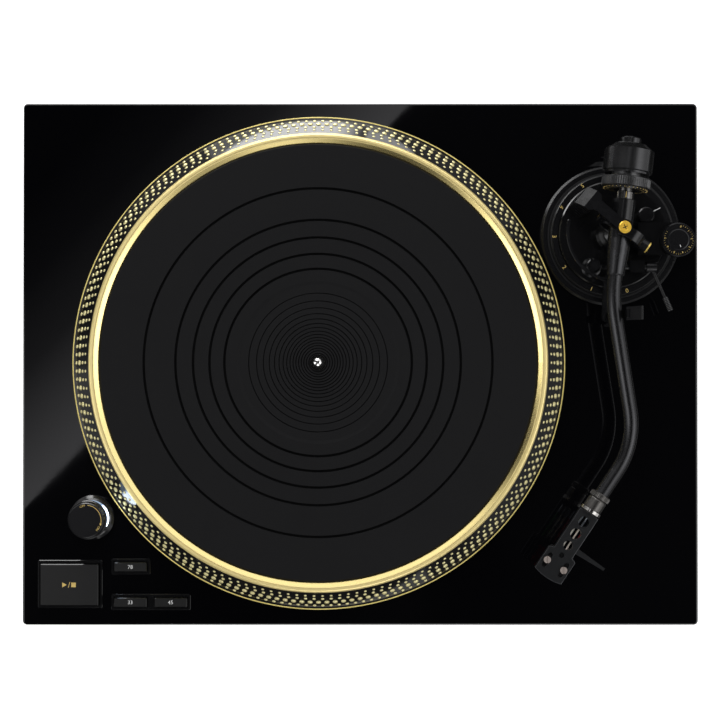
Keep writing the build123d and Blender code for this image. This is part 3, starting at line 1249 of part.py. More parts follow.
PLUG_LENGTH = 8.0
FRONT_BULGE = 1.6
NECK_FLARE = 1.2
PIN_BLOCK = 3.0
PIN_BLOCK_INSET = 1.0
PIN_BLOCK_DROP = 3.4
HEAD_SCREWS = ((SCREW_ALONG, SCREW_SPACING / 2), (SCREW_ALONG, -SCREW_SPACING / 2))
with BuildPart() as headshell:
    with BuildSketch(head_plane(ARM_Z - HEAD_BELOW)):
        with BuildLine():
            Polyline(
                (HEAD_LENGTH - FRONT_BULGE, HEAD_HALF_W), (NECK_LENGTH + NECK_FLARE, HEAD_HALF_W),
                (NECK_LENGTH, NECK_HALF_W), (0, NECK_HALF_W), (0, -NECK_HALF_W),
                (NECK_LENGTH, -NECK_HALF_W), (NECK_LENGTH + NECK_FLARE, -HEAD_HALF_W),
                (HEAD_LENGTH - FRONT_BULGE, -HEAD_HALF_W),
            )
            ThreePointArc(
                (HEAD_LENGTH - FRONT_BULGE, -HEAD_HALF_W),
                (HEAD_LENGTH, 0),
                (HEAD_LENGTH - FRONT_BULGE, HEAD_HALF_W),
            )
        make_face()
        for along, radius in HEAD_HOLES:
            with Locations((along, 0)):
                Circle(radius, mode=Mode.SUBTRACT)
        with Locations(*HEAD_SCREWS):
            SlotOverall(SLOT_LENGTH, SLOT_W, mode=Mode.SUBTRACT)
    extrude(amount=HEAD_ABOVE + HEAD_BELOW)
    with BuildSketch(head_plane(ARM_Z - HEAD_BELOW)):
        with Locations((PIN_BLOCK / 2, 0)):
            Rectangle(PIN_BLOCK, 2 * (NECK_HALF_W - PIN_BLOCK_INSET))
    extrude(amount=-PIN_BLOCK_DROP)
    with BuildSketch(Plane(origin=(HEAD_X, HEAD_Y, ARM_Z), x_dir=(0, 0, 1), z_dir=(*HEAD_DIR, 0))):
        Circle(TUBE_BORE_R - FIT)
    extrude(amount=-PLUG_LENGTH)
save(headshell, "headshell")

FINGER_ROOT_W = 3.8
FINGER_TIP_W = 1.8
FINGER_THICK = 1.6
FINGER_DROP = 0.6  # its underside below the arm's axis
with BuildPart() as finger_lift:
    with BuildSketch(head_plane(ARM_Z - FINGER_DROP)):
        with BuildLine():
            Polyline(
                (LIFT_ALONG - FINGER_ROOT_W / 2, NECK_HALF_W), (LIFT_ALONG + FINGER_ROOT_W / 2, NECK_HALF_W),
                (LIFT_ALONG + FINGER_TIP_W / 2, NECK_HALF_W + LIFT_REACH),
                (LIFT_ALONG - FINGER_TIP_W / 2, NECK_HALF_W + LIFT_REACH), close=True,
            )
        make_face()
    extrude(amount=FINGER_THICK)
save(finger_lift, "finger_lift")

CARTRIDGE_TOP = ARM_Z - HEAD_BELOW
CARTRIDGE_LOW = CARTRIDGE_TOP - CARTRIDGE_TALL
SCREW_BITE = 4.0
SCREW_FLOOR = 1.5  # under the screws
HEAD_SCREW_R = 1.25
CARTRIDGE_MID = (CARTRIDGE_FROM + CARTRIDGE_TO) / 2
CARTRIDGE_LENGTH = CARTRIDGE_TO - CARTRIDGE_FROM
CARTRIDGE_CORNER = 1.0
CARTRIDGE_BODY_W = 12.0
with BuildPart() as cartridge:
    with BuildSketch(head_plane(CARTRIDGE_LOW)):
        with Locations((CARTRIDGE_MID, 0)):
            RectangleRounded(CARTRIDGE_LENGTH, 2 * CARTRIDGE_HALF_W, CARTRIDGE_CORNER)
    extrude(amount=CARTRIDGE_TALL)
    with BuildSketch(head_plane(CARTRIDGE_LOW)):
        with Locations((CARTRIDGE_MID, 0)):
            Rectangle(CARTRIDGE_LENGTH, 2 * CARTRIDGE_HALF_W)
            Rectangle(CARTRIDGE_LENGTH, CARTRIDGE_BODY_W, mode=Mode.SUBTRACT)
    extrude(amount=CARTRIDGE_TALL - SCREW_BITE - SCREW_FLOOR, mode=Mode.SUBTRACT)
    with BuildSketch(head_plane(CARTRIDGE_TOP - SCREW_BITE)):
        with Locations(*HEAD_SCREWS):
            Circle(HEAD_SCREW_R + FIT)
    extrude(amount=SCREW_BITE, mode=Mode.SUBTRACT)
save(cartridge, "cartridge")

TIP_Z = MAT_TOP + TIP_ABOVE_MAT
HOLDER_DEEP = 2.2
HOLDER_HALF_W = 3.6
HOLDER_NOSE = 1.6
HOLDER_BACK = 6.0  # in from the cartridge's back
HOLDER_SHOULDER = 2.0
HOLDER_REACH = 1.0  # beyond the cartridge's front
TIP_R = 0.15
TIP_ROOT_R = 0.6
TIP_LEAN = 0.4
holder_from = CARTRIDGE_FROM + HOLDER_BACK
holder_bend = CARTRIDGE_TO - HOLDER_SHOULDER
holder_to = CARTRIDGE_TO + HOLDER_REACH
with BuildPart() as stylus:
    with BuildSketch(head_plane(CARTRIDGE_LOW - HOLDER_DEEP)):
        with BuildLine():
            Polyline(
                (holder_from, HOLDER_HALF_W), (holder_bend, HOLDER_HALF_W), (holder_to, HOLDER_NOSE),
                (holder_to, -HOLDER_NOSE), (holder_bend, -HOLDER_HALF_W), (holder_from, -HOLDER_HALF_W),
                close=True,
            )
        make_face()
    extrude(amount=HOLDER_DEEP)
    with BuildSketch(head_plane(TIP_Z)):
        with Locations((TIP_ALONG, 0)):
            Circle(TIP_R)
    with BuildSketch(head_plane(CARTRIDGE_LOW - HOLDER_DEEP)):
        with Locations((TIP_ALONG - TIP_LEAN, 0)):
            Circle(TIP_ROOT_R)
    loft()
save(stylus, "stylus")

HEAD_R = 2.3
HEAD_HIGH = 1.5
DRIVE_LENGTH = 5.0
DRIVE_W = 0.6
DRIVE_DEEP = 0.7
DRIVE_TURN = 35.0
with BuildPart() as headshell_screws:
    with BuildSketch(head_plane(ARM_Z + HEAD_ABOVE)):
        with Locations(*HEAD_SCREWS):
            Circle(HEAD_R)
    extrude(amount=HEAD_HIGH)
    with BuildSketch(head_plane(ARM_Z + HEAD_ABOVE + HEAD_HIGH)):
        with Locations(*HEAD_SCREWS):
            Rectangle(DRIVE_LENGTH, DRIVE_W, rotation=DRIVE_TURN)
    extrude(amount=-DRIVE_DEEP, mode=Mode.SUBTRACT)
    with BuildSketch(head_plane(CARTRIDGE_TOP - SCREW_BITE)):
        with Locations(*HEAD_SCREWS):
            Circle(HEAD_SCREW_R)
    extrude(amount=SCREW_BITE + HEAD_BELOW + HEAD_ABOVE)
save(headshell_screws, "headshell_screws")

LEAD_R = 0.55
LEAD_DROP = 1.8  # below the headshell
LEAD_SAG = 1.6
LEAD_COUNT = 4
LEAD_SPACING = 3.0
LEAD_GAP = 0.15
lead_level = head_plane(CARTRIDGE_TOP - LEAD_DROP)
with BuildPart() as cartridge_leads:
    for lead in range(LEAD_COUNT):
        side = (lead - (LEAD_COUNT - 1) / 2) * LEAD_SPACING
        start = lead_level.from_local_coords(Vector(PIN_BLOCK + LEAD_GAP, side, 0))
        finish = lead_level.from_local_coords(Vector(CARTRIDGE_FROM - LEAD_GAP, side, 0))
        middle = (start + finish) * 0.5 - Vector(0, 0, LEAD_SAG)
        with BuildLine() as lead_path:
            ThreePointArc(start, middle, finish)
        with BuildSketch(Plane(origin=start, z_dir=lead_path.edge() % 0)):
            Circle(LEAD_R)
        sweep(path=lead_path.edge())
save(cartridge_leads, "cartridge_leads")

# ================= around the tonearm base =================

DIAL_INSET = 1.0
antiskate_housing = turned(
    *near_pivot(ANTISKATE),
    [(PIN_R + RUN, SHELF_Z + SHELF_THICK), (ANTISKATE_R - DIAL_INSET, SHELF_Z + SHELF_THICK),
     (ANTISKATE_R - DIAL_INSET, ANTISKATE_LOW - GAP), (PIN_R + RUN, ANTISKATE_LOW - GAP)],
)
save(antiskate_housing, "antiskate_housing")

DIAL_PIN_END = 1.0  # above the shelf's underside
DIAL_BEVEL = 0.8
DIAL_FACE_DROP = 0.2
DIAL_FACE_W = 3.4
antiskate_dial = turned(
    *near_pivot(ANTISKATE),
    [(0, SHELF_Z + DIAL_PIN_END), (PIN_R, SHELF_Z + DIAL_PIN_END), (PIN_R, ANTISKATE_LOW),
     (ANTISKATE_R - DIAL_BEVEL / 2, ANTISKATE_LOW), (ANTISKATE_R, ANTISKATE_LOW + DIAL_BEVEL / 2),
     (ANTISKATE_R, ANTISKATE_HIGH - DIAL_FACE_DROP - DIAL_BEVEL),
     (ANTISKATE_R - DIAL_BEVEL, ANTISKATE_HIGH - DIAL_FACE_DROP),
     (ANTISKATE_R - DIAL_BEVEL - DIAL_FACE_W, ANTISKATE_HIGH - DIAL_FACE_DROP),
     (ANTISKATE_R - 2 * DIAL_BEVEL - DIAL_FACE_W + DIAL_FACE_DROP, ANTISKATE_HIGH), (0, ANTISKATE_HIGH)],
)
save(antiskate_dial, "antiskate_dial")

LOCK_LEVER_TURN = 27.0
LOCK_LEVER_LENGTH = 8.0
LOCK_LEVER_W = 1.5
LOCK_LEVER_THICK = 1.8
LOCK_LEVER_DROP = 3.2  # its underside below the knob's top
LOCK_BITE = 2.0
LOCK_BEVEL = 0.8
LOCK_PIN_LOW = PLATFORM_Z - PLATFORM_SKIN + GAP
lock_body = turned(
    *near_pivot(LOCK),
    [(0, LOCK_PIN_LOW), (PIN_R, LOCK_PIN_LOW), (PIN_R, PLATFORM_Z), (LOCK_R - LOCK_BEVEL, PLATFORM_Z),
     (LOCK_R, PLATFORM_Z + LOCK_BEVEL), (LOCK_R, LOCK_HIGH - LOCK_BEVEL), (LOCK_R - LOCK_BEVEL, LOCK_HIGH),
     (0, LOCK_HIGH)],
).part
lock_x, lock_y = near_pivot(LOCK)
lock_turn = radians(LOCK_LEVER_TURN)
lever_plane = Plane(
    origin=(lock_x, lock_y, LOCK_HIGH - LOCK_LEVER_DROP),
    x_dir=(cos(lock_turn), sin(lock_turn), 0),
    z_dir=(0, 0, 1),
)
with BuildPart() as height_lock:
    add(lock_body)
    with BuildSketch(lever_plane):
        with Locations((LOCK_R - LOCK_BITE + LOCK_LEVER_LENGTH / 2, 0)):
            SlotOverall(LOCK_LEVER_LENGTH, LOCK_LEVER_W)
    extrude(amount=LOCK_LEVER_THICK)
save(height_lock, "height_lock")

post_x, post_y = near_pivot(LIFT_POST)
POST_DEEP = 4.0
LIFT_FOOT_W = 1.5
LIFT_FOOT_HIGH = 2.0
LIFT_BEVEL = 0.6
cylinder_body = turned(
    post_x, post_y,
    [(0, PLATFORM_Z), (LIFT_HOUSING_R + LIFT_FOOT_W, PLATFORM_Z),
     (LIFT_HOUSING_R + LIFT_FOOT_W, PLATFORM_Z + LIFT_FOOT_HIGH),
     (LIFT_HOUSING_R, PLATFORM_Z + LIFT_FOOT_HIGH + LIFT_BEVEL),
     (LIFT_HOUSING_R, LIFT_HOUSING_HIGH - LIFT_BEVEL), (LIFT_HOUSING_R - LIFT_BEVEL, LIFT_HOUSING_HIGH),
     (LIFT_POST_R + RUN, LIFT_HOUSING_HIGH), (LIFT_POST_R + RUN, LIFT_HOUSING_HIGH - POST_DEEP),
     (0, LIFT_HOUSING_HIGH - POST_DEEP)],
).part
CUE_BITE = 1.0  # of the lever's shaft short of the lift's middle
CUE_LEFT = LIFT_POST[0] + CUE_BITE
with BuildPart() as lift_cylinder:
    add(cylinder_body)
    with BuildSketch(Plane.YZ.offset(PIVOT_X + CUE_LEFT - GAP)):
        with Locations((post_y, CUE_Z)):
            Circle(CUE_SHAFT_R + RUN)
    extrude(amount=LIFT_HOUSING_R + LIFT_FOOT_W, mode=Mode.SUBTRACT)
save(lift_cylinder, "lift_cylinder")

CUE_SLOPE = 6.0  # upwards, when the lift is down
LEVER_R = 1.1
GRIP_R = 1.7
GRIP_LENGTH = 10.0
KNUCKLE_R = 3.6
KNUCKLE_LENGTH = 6.5
KNUCKLE_INSET = 4.5
cue_tip_x, cue_tip_y = near_pivot(CUE_TIP)
cue_root_x = PIVOT_X + CUE_RIGHT
cue_root_y = post_y
lever_run = hypot(cue_tip_x - cue_root_x, cue_tip_y - cue_root_y)
lever_axis = Plane(
    origin=(cue_root_x - LEVER_R, cue_root_y, CUE_Z),
    x_dir=(0, 0, 1),
    z_dir=(cue_tip_x - cue_root_x, cue_tip_y - cue_root_y, lever_run * sin(radians(CUE_SLOPE))),
)
with BuildPart() as cue_lever:
    with BuildSketch(Plane.YZ.offset(PIVOT_X + CUE_LEFT)):
        with Locations((post_y, CUE_Z)):
            Circle(CUE_SHAFT_R)
    extrude(amount=CUE_RIGHT - CUE_LEFT)
    with BuildSketch(Plane.YZ.offset(cue_root_x - KNUCKLE_INSET)):
        with Locations((post_y, CUE_Z)):
            Circle(KNUCKLE_R)
    extrude(amount=KNUCKLE_LENGTH)
    with BuildSketch(lever_axis):
        Circle(LEVER_R)
    extrude(amount=lever_run)
    with BuildSketch(lever_axis.offset(lever_run - GRIP_LENGTH)):
        Circle(GRIP_R)
    extrude(amount=GRIP_LENGTH)
save(cue_lever, "cue_lever")

RAIL_W = 2.2
RAIL_THICK = 2.0
RAIL_BEVEL = 0.4
BRACKET_W = 4.0
BRACKET_BITE = 0.5
BRACKET_THICK = 2.4
BRACKET_WALL = 1.2
rail_mid = (LIFT_RAIL_FROM + LIFT_RAIL_TO) / 2
POST_REACH = hypot(*LIFT_POST)
with BuildPart() as lift_rail:
    rail_ends = []
    for turn in (LIFT_RAIL_FROM, rail_mid, LIFT_RAIL_TO):
        direction = radians(turn)
        rail_ends.append(near_pivot((LIFT_RAIL_R * cos(direction), LIFT_RAIL_R * sin(direction))))
    with BuildSketch(Plane.XY.offset(LIFT_RAIL_TOP - RAIL_THICK)):
        with BuildLine():
            ThreePointArc(*rail_ends)
            offset(amount=RAIL_W / 2)
        make_face()
    extrude(amount=RAIL_THICK)
    chamfer(lift_rail.faces().sort_by(Axis.Z)[-1].edges(), RAIL_BEVEL)
    post_level = Plane(
        origin=(post_x, post_y, LIFT_RAIL_TOP - RAIL_THICK), x_dir=(*LIFT_POST, 0), z_dir=(0, 0, 1)
    )
    with BuildSketch(post_level):
        with Locations(((LIFT_RAIL_R - POST_REACH) / 2, 0)):
            Rectangle(LIFT_RAIL_R - POST_REACH + 2 * BRACKET_BITE, BRACKET_W)
        Circle(LIFT_POST_R + BRACKET_WALL)
    extrude(amount=-BRACKET_THICK)
    with BuildSketch(Plane.XY.offset(LIFT_HOUSING_HIGH - POST_DEEP)):
        with Locations((post_x, post_y)):
            Circle(LIFT_POST_R)
    extrude(amount=LIFT_RAIL_TOP - RAIL_THICK - LIFT_HOUSING_HIGH + POST_DEEP)
save(lift_rail, "lift_rail")

rest_x, rest_y = near_pivot(REST)
CRADLE_TOP = ARM_Z - TUBE_R - GAP
rest_plane = Plane(origin=(PIVOT_X, PIVOT_Y, PLATFORM_Z), x_dir=(*REST, 0), z_dir=(0, 0, 1))
REST_REACH = hypot(*REST)
HINGE_R = 0.9
REST_WALL = 2.0
BRIDGE_LENGTH = 32.0
BRIDGE_W = 9.0
BRIDGE_THICK = 3.0
BRIDGE_CORNER = 3.0
BRIDGE_REACH = 4.0  # beyond the rest's post
REST_POST_R = 3.4
CRADLE_THICK = 4.0
CRADLE_SAG = 2.0
CRADLE_HALF_W = 4.0
CHEEK_ABOVE = 1.8  # above the latch's hinge
CRADLE_LIP = 1.0
rest_front = rest_y - REST_DEEP / 2
cheek_in = rest_x + REST_HALF_W - REST_WALL
with BuildPart() as arm_rest:
    with BuildSketch(rest_plane):
        with Locations((REST_REACH + BRIDGE_REACH - BRIDGE_LENGTH / 2, 0)):
            RectangleRounded(BRIDGE_LENGTH, BRIDGE_W, BRIDGE_CORNER)
    extrude(amount=BRIDGE_THICK)
    with BuildSketch(Plane.XY.offset(PLATFORM_Z + BRIDGE_THICK)):
        with Locations((rest_x, rest_y)):
            Circle(REST_POST_R)
    extrude(amount=CRADLE_TOP - CRADLE_SAG - PLATFORM_Z - BRIDGE_THICK)
    # cradle: low on the record's side, a tall cheek with the latch's hinge on the other side
    with BuildSketch(Plane.XZ.offset(-rest_front)):
        with BuildLine():
            Polyline(
                (rest_x - REST_HALF_W, CRADLE_TOP - CRADLE_THICK),
                (rest_x + REST_HALF_W, CRADLE_TOP - CRADLE_THICK),
                (rest_x + REST_HALF_W, LATCH_Z + CHEEK_ABOVE), (cheek_in, LATCH_Z + CHEEK_ABOVE),
                (cheek_in, CRADLE_TOP - CRADLE_LIP), (rest_x + CRADLE_HALF_W, CRADLE_TOP - CRADLE_SAG),
                (rest_x - CRADLE_HALF_W, CRADLE_TOP - CRADLE_SAG),
                (rest_x - REST_HALF_W + REST_WALL, CRADLE_TOP), (rest_x - REST_HALF_W, CRADLE_TOP),
                close=True,
            )
        make_face()
    extrude(amount=-REST_DEEP)
    with BuildSketch(Plane.XZ.offset(-rest_front)):
        with Locations((rest_x + REST_HALF_W - REST_WALL / 2, LATCH_Z)):
            Circle(HINGE_R + RUN)
    extrude(amount=-REST_DEEP, mode=Mode.SUBTRACT)
save(arm_rest, "arm_rest")

LATCH_LENGTH = 13.5
LATCH_THICK = 1.6
LATCH_OPEN = 125.0  # from lying across the tube
hinge_x = rest_x + REST_HALF_W - REST_WALL / 2
latch_dir = (cos(radians(180 - LATCH_OPEN)), 0, sin(radians(180 - LATCH_OPEN)))
latch_plane = Plane(origin=(hinge_x, rest_y, LATCH_Z), x_dir=latch_dir, z_dir=(0, 1, 0))
LATCH_DEEP = REST_DEEP + 2 * (GAP + LATCH_THICK)
LATCH_NECK = 3.0
LATCH_NOTCH = 4.0
LATCH_TAIL = 1.4
with BuildPart() as rest_latch:
    with BuildSketch(latch_plane):
        with Locations(((LATCH_LENGTH - LATCH_TAIL) / 2, 0)):
            SlotOverall(LATCH_LENGTH + LATCH_TAIL, 2 * HINGE_R)
    extrude(amount=LATCH_DEEP / 2, both=True)
    with BuildSketch(latch_plane):
        Rectangle(2 * LATCH_NECK, LATCH_NOTCH)
    extrude(amount=REST_DEEP / 2 + GAP, both=True, mode=Mode.SUBTRACT)
    with BuildSketch(latch_plane):
        Circle(HINGE_R)
    extrude(amount=LATCH_DEEP / 2, both=True)
save(rest_latch, "rest_latch")
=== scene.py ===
import json
from math import atan2, cos, hypot, pi, radians, sin

import bpy
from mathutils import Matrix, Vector


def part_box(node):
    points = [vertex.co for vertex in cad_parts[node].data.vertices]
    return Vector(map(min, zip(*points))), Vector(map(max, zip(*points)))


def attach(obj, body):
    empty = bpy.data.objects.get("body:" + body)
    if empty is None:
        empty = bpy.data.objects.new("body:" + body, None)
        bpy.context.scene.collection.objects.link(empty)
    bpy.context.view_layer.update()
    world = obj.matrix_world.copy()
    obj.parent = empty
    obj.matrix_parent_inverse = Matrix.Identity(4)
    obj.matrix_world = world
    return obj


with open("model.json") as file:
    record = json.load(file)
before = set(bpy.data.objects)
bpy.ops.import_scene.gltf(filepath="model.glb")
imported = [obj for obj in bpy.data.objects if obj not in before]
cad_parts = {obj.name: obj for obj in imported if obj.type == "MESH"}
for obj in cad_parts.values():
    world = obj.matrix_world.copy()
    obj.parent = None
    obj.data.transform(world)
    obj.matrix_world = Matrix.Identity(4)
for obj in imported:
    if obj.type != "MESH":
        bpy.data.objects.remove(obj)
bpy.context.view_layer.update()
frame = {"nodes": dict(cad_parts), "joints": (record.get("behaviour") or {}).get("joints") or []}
nodes = frame["nodes"]
joints = {joint["name"]: joint for joint in frame["joints"]}

MM = 0.001
UP = Vector((0.0, 0.0, 1.0))
WHITE = (1.0, 1.0, 1.0)


# ======================================================================
# places on the object, in millimetres, taken from the frame
# ======================================================================

def joint_place(name):
    """A point on a joint's axis."""
    return Vector(joints[name]["pos_m"]) / MM


def joint_axis(name):
    return Vector(joints[name]["axis"])


def middle_of(node):
    """The middle of a node's box."""
    low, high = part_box(node)
    return (low + high) / 2 / MM


def top_of(node):
    """The height of a node's highest point."""
    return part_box(node)[1].z / MM


def at_height(point, height):
    """The point straight above or below another, at that height."""
    return Vector((point.x, point.y, height))


def polar(centre, radius, turn, height):
    """The point at a radius and a bearing in degrees from a centre, at that height."""
    a = radians(turn)
    return Vector((centre.x + radius * cos(a), centre.y + radius * sin(a), height))


PLATTER = joint_place("platter_spin")    # at the height of the mat's top
TOWER = joint_place("power_turn")
PIVOT = joint_place("arm_swing")         # at the height of the arm tube
SKATE = joint_place("antiskate_turn")
LOCK = joint_place("height_lock_turn")
HEAD = joint_place("collar_turn")        # where the headshell meets the arm tube
HEAD_DIR = joint_axis("collar_turn")
HEAD_SIDE = -joint_axis("arm_tilt")
ARM_REAR = joint_axis("weight_turn")
PLATTER_FOOT = at_height(PLATTER, 0.0)
PIVOT_FOOT = at_height(PIVOT, 0.0)
TOWER_FOOT = at_height(TOWER, 0.0)

# Radii and heights where one finish meets another.
BAND_IN_R = 152.9         # inner edge of the platter's band with the dots
RIM_IN_R = 149.6          # inner edge of its bright rim
MAT_EDGE_R = 145.4
GOLD_Z = 109.5            # the platter's gold starts here
LABEL_R = 53.0            # the mat's recess for a record's label
LABEL_DEEP = 0.5
GROOVES_R = (5.6, 143.5)  # the mat's moulded grooves lie between these
CHANNEL_R = (40.5, 42.7)  # the channel in the arm-height ring
CHANNEL_Z = 100.5         # its finish ends above this
LENS_Z = (97.0, 105.0)
INDEX_COLLAR = (19.7, 26.0)    # along the tonearm, from its pivot
PINS_START = 10.0         # along the headshell
PAD_Z = 8.0               # top of the feet's rubber pads
RIPPLE = 1.1              # from one ripple of the mat to the next
WIRE = 0.4                # from one turn of a coil to the next


# ======================================================================
# materials
# ======================================================================

NOISE_ROUGHNESS = 0.55
EDGE_SOFT = 0.08 * MM


class Nodes:
    """Short calls for building the shader nodes of a material or of the world."""

    def __init__(self, owner):
        owner.use_nodes = True
        self.tree = owner.node_tree
        self.tree.nodes.clear()

    def put(self, value, socket):
        """Links a socket to another, or sets its value. A colour is given without its alpha."""
        if isinstance(value, bpy.types.NodeSocket):
            self.tree.links.new(value, socket)
        elif socket.type == "RGBA":
            socket.default_value = (*value, 1.0)
        else:
            socket.default_value = value

    def new(self, kind, sockets, **settings):
        """A node with these settings, and these values or links in its sockets."""
        node = self.tree.nodes.new("ShaderNode" + kind)
        for name, setting in settings.items():
            setattr(node, name, setting)
        for key, value in sockets.items():
            self.put(value, node.inputs[key])
        return node

    def source(self, kind):
        """The outputs of a node that needs no input."""
        return self.new(kind, {}).outputs

    def math(self, operation, *values):
        return self.new("Math", dict(enumerate(values)), operation=operation).outputs[0]

    def vector(self, operation, *values):
        node = self.new("VectorMath", dict(enumerate(values)), operation=operation)
        return node.outputs["Value" if operation in ("LENGTH", "DOT_PRODUCT") else "Vector"]

    def part(self, vector, axis):
        """One coordinate of a vector: X, Y or Z."""
        return self.new("SeparateXYZ", {0: vector}).outputs[axis]

    def spread(self, value, low, high, start=0.0, end=1.0, curve="LINEAR"):
        """Maps a value from start..end to low..high, held at both ends."""
        sockets = {"Value": value, "From Min": start, "From Max": end, "To Min": low, "To Max": high}
        return self.new("MapRange", sockets, interpolation_type=curve).outputs["Result"]

    def ramp(self, value, stops):
        """A grey that follows stops, each a place and a grey."""
        node = self.new("ValToRGB", {"Fac": value})
        elements = node.color_ramp.elements
        for i, (position, grey) in enumerate(stops):
            stop = elements[i] if i < 2 else elements.new(position)
            stop.position = position
            stop.color = (grey, grey, grey, 1.0)
        return node.outputs["Color"]


class Paint(Nodes):
    """A procedural material for the object."""

    def __init__(self, name):
        self.material = bpy.data.materials.new(name)
        super().__init__(self.material)
        self.shader = self.new("BsdfPrincipled", {})
        self.new("OutputMaterial", {"Surface": self.shader.outputs[0]})
        self.place = self.source("TexCoord")["Object"]

    def noise(self, scale, detail=3.0, at=None):
        sockets = {"Vector": self.place if at is None else at, "Scale": scale, "Detail": detail,
                   "Roughness": NOISE_ROUGHNESS}
        return self.new("TexNoise", sockets).outputs["Fac"]

    def cells(self, scale):
        return self.new("TexVoronoi", {"Vector": self.place, "Scale": scale}).outputs["Distance"]

    def blend(self, share, a, b):
        """A colour between a and b."""
        node = self.new("Mix", {}, data_type="RGBA")
        self.put(share, node.inputs["Factor"])
        for value, socket in zip((a, b), (s for s in node.inputs if s.type == "RGBA")):
            self.put(value, socket)
        return next(s for s in node.outputs if s.type == "RGBA")

    def tones(self, share, colour, tone):
        """A colour that goes from darker to lighter by the share tone."""
        return self.blend(share, shade(colour, 1.0 - tone), shade(colour, 1.0 + tone))

    def bump(self, height, depth):
        sockets = {"Strength": 1.0, "Distance": depth, "Height": height}
        return self.new("Bump", sockets).outputs["Normal"]

    def about(self, point, axis=UP):
        """Distance from an axis, and distance along it from a point in millimetres. Both are in metres."""
        reach = self.vector("SUBTRACT", self.place, point * MM)
        along = self.vector("DOT_PRODUCT", reach, axis)
        on_axis = self.vector("MULTIPLY", along, axis)
        return self.vector("LENGTH", self.vector("SUBTRACT", reach, on_axis)), along

    def turning(self, radius, along, scale):
        """Fine marks that run round an axis, as a lathe leaves them."""
        return self.noise(scale, 2.0, self.new("CombineXYZ", {"X": radius, "Y": along}).outputs[0])

    def within(self, value, low, high, soft=EDGE_SOFT):
        """1 where low < value < high, 0 elsewhere."""
        rise = self.spread(value, 0.0, 1.0, low - soft, low + soft)
        fall = self.spread(value, 1.0, 0.0, high - soft, high + soft)
        return self.math("MULTIPLY", rise, fall)

    def set(self, **sockets):
        """Values or links for the shader's sockets, with _ for each space in their names."""
        for name, value in sockets.items():
            self.put(value, self.shader.inputs[name.replace("_", " ")])
        return self


def shade(colour, factor):
    return tuple(min(1.0, c * factor) for c in colour)


def plain(name, colour, rough, metal=0.0, grain=900.0, depth=0.000015, tone=0.18, wear=0.06, cloud=25.0):
    """Moulded, painted or cast surface: cloudy tone, varied gloss and a fine grain."""
    paint = Paint(name)
    return paint.set(
        Base_Color=paint.tones(paint.noise(cloud, 4.0), colour, tone),
        Metallic=metal,
        Roughness=paint.spread(paint.noise(cloud * 4.0, 3.0), rough - wear, rough + wear, 0.3, 0.7),
        Normal=paint.bump(paint.noise(grain, 2.0), depth),
    )


def lathed(name, colour, rough, point, axis=UP, metal=0.0, depth=0.00001, tone=0.12):
    """Turned surface: marks round its axis in tone and height, and cloudy gloss."""
    paint = Paint(name)
    marks = paint.turning(*paint.about(point, axis), 2600.0)
    return paint.set(
        Base_Color=paint.tones(marks, colour, tone),
        Metallic=metal,
        Roughness=paint.spread(paint.noise(40.0, 3.0), rough * 0.85, rough * 1.2, 0.3, 0.7),
        Normal=paint.bump(marks, depth),
    )


def lacquer_paint():
    """Plinth lacquer: deep black, a faint orange peel and a few specks of dust."""
    paint = Paint("lacquer")
    specks = paint.spread(paint.cells(260.0), 1.0, 0.0, 0.0, 0.045)
    dusty = paint.spread(paint.noise(30.0), 0.0, 1.0, 0.58, 0.7)
    dust = paint.math("MULTIPLY", specks, dusty)
    return paint.set(
        Base_Color=paint.blend(dust, (0.0012, 0.0012, 0.0016), (0.010, 0.010, 0.011)),
        Roughness=paint.spread(paint.noise(12.0, 5.0), 0.015, 0.05, 0.35, 0.65),
        Normal=paint.bump(paint.noise(140.0, 2.0), 0.0000025),
    )


def board_paint():
    """Circuit board: a green mask with lighter tracks."""
    paint = Paint("board")
    track = paint.within(paint.cells(190.0), 0.22, 0.34, 0.02)
    return paint.set(
        Base_Color=paint.blend(track, (0.012, 0.085, 0.035), (0.03, 0.17, 0.07)),
        Roughness=paint.spread(paint.noise(300.0), 0.25, 0.45, 0.3, 0.7),
        Normal=paint.bump(track, 0.00003),
    )


def copper_paint():
    """Coil wire, in fine turns."""
    paint = Paint("copper")
    height = paint.about(PLATTER_FOOT)[1]
    turns = paint.math("SINE", paint.math("MULTIPLY", height, 2 * pi / (MM * WIRE)))
    return paint.set(
        Base_Color=paint.blend(paint.noise(160.0), (0.42, 0.14, 0.045), (0.62, 0.25, 0.09)),
        Metallic=0.9,
        Roughness=paint.spread(paint.noise(500.0), 0.25, 0.4),
        Normal=paint.bump(turns, 0.00004),
    )


def platter_paint():
    """Black lacquered band, gold rim and satin gold inner band."""
    paint = Paint("platter")
    radius, height = paint.about(PLATTER_FOOT)
    above = paint.spread(height, 0.0, 1.0, MM * GOLD_Z, MM * (GOLD_Z + 0.2))
    gold = paint.math("MULTIPLY", paint.within(radius, MM * MAT_EDGE_R, MM * BAND_IN_R), above)
    marks = paint.turning(radius, height, 3200.0)

    def on_gold(inner, outer):
        """Goes from inner to outer where the rim starts. It is 0 off the gold."""
        share = paint.spread(radius, inner, outer, MM * (RIM_IN_R - 1.0), MM * RIM_IN_R)
        return paint.math("MULTIPLY", gold, share)

    black = paint.blend(paint.noise(60.0), (0.007, 0.007, 0.0075), (0.012, 0.0115, 0.011))
    metal = paint.blend(marks, shade(PALE_GOLD, 0.9), shade(PALE_GOLD, 1.06))
    return paint.set(
        Base_Color=paint.blend(gold, black, metal),
        Metallic=on_gold(1.0, 0.55),
        Roughness=paint.math("ADD", paint.spread(marks, 0.07, 0.12), on_gold(0.12, 0.30)),
        Normal=paint.bump(marks, 0.000006),
        IOR=1.9,
    )


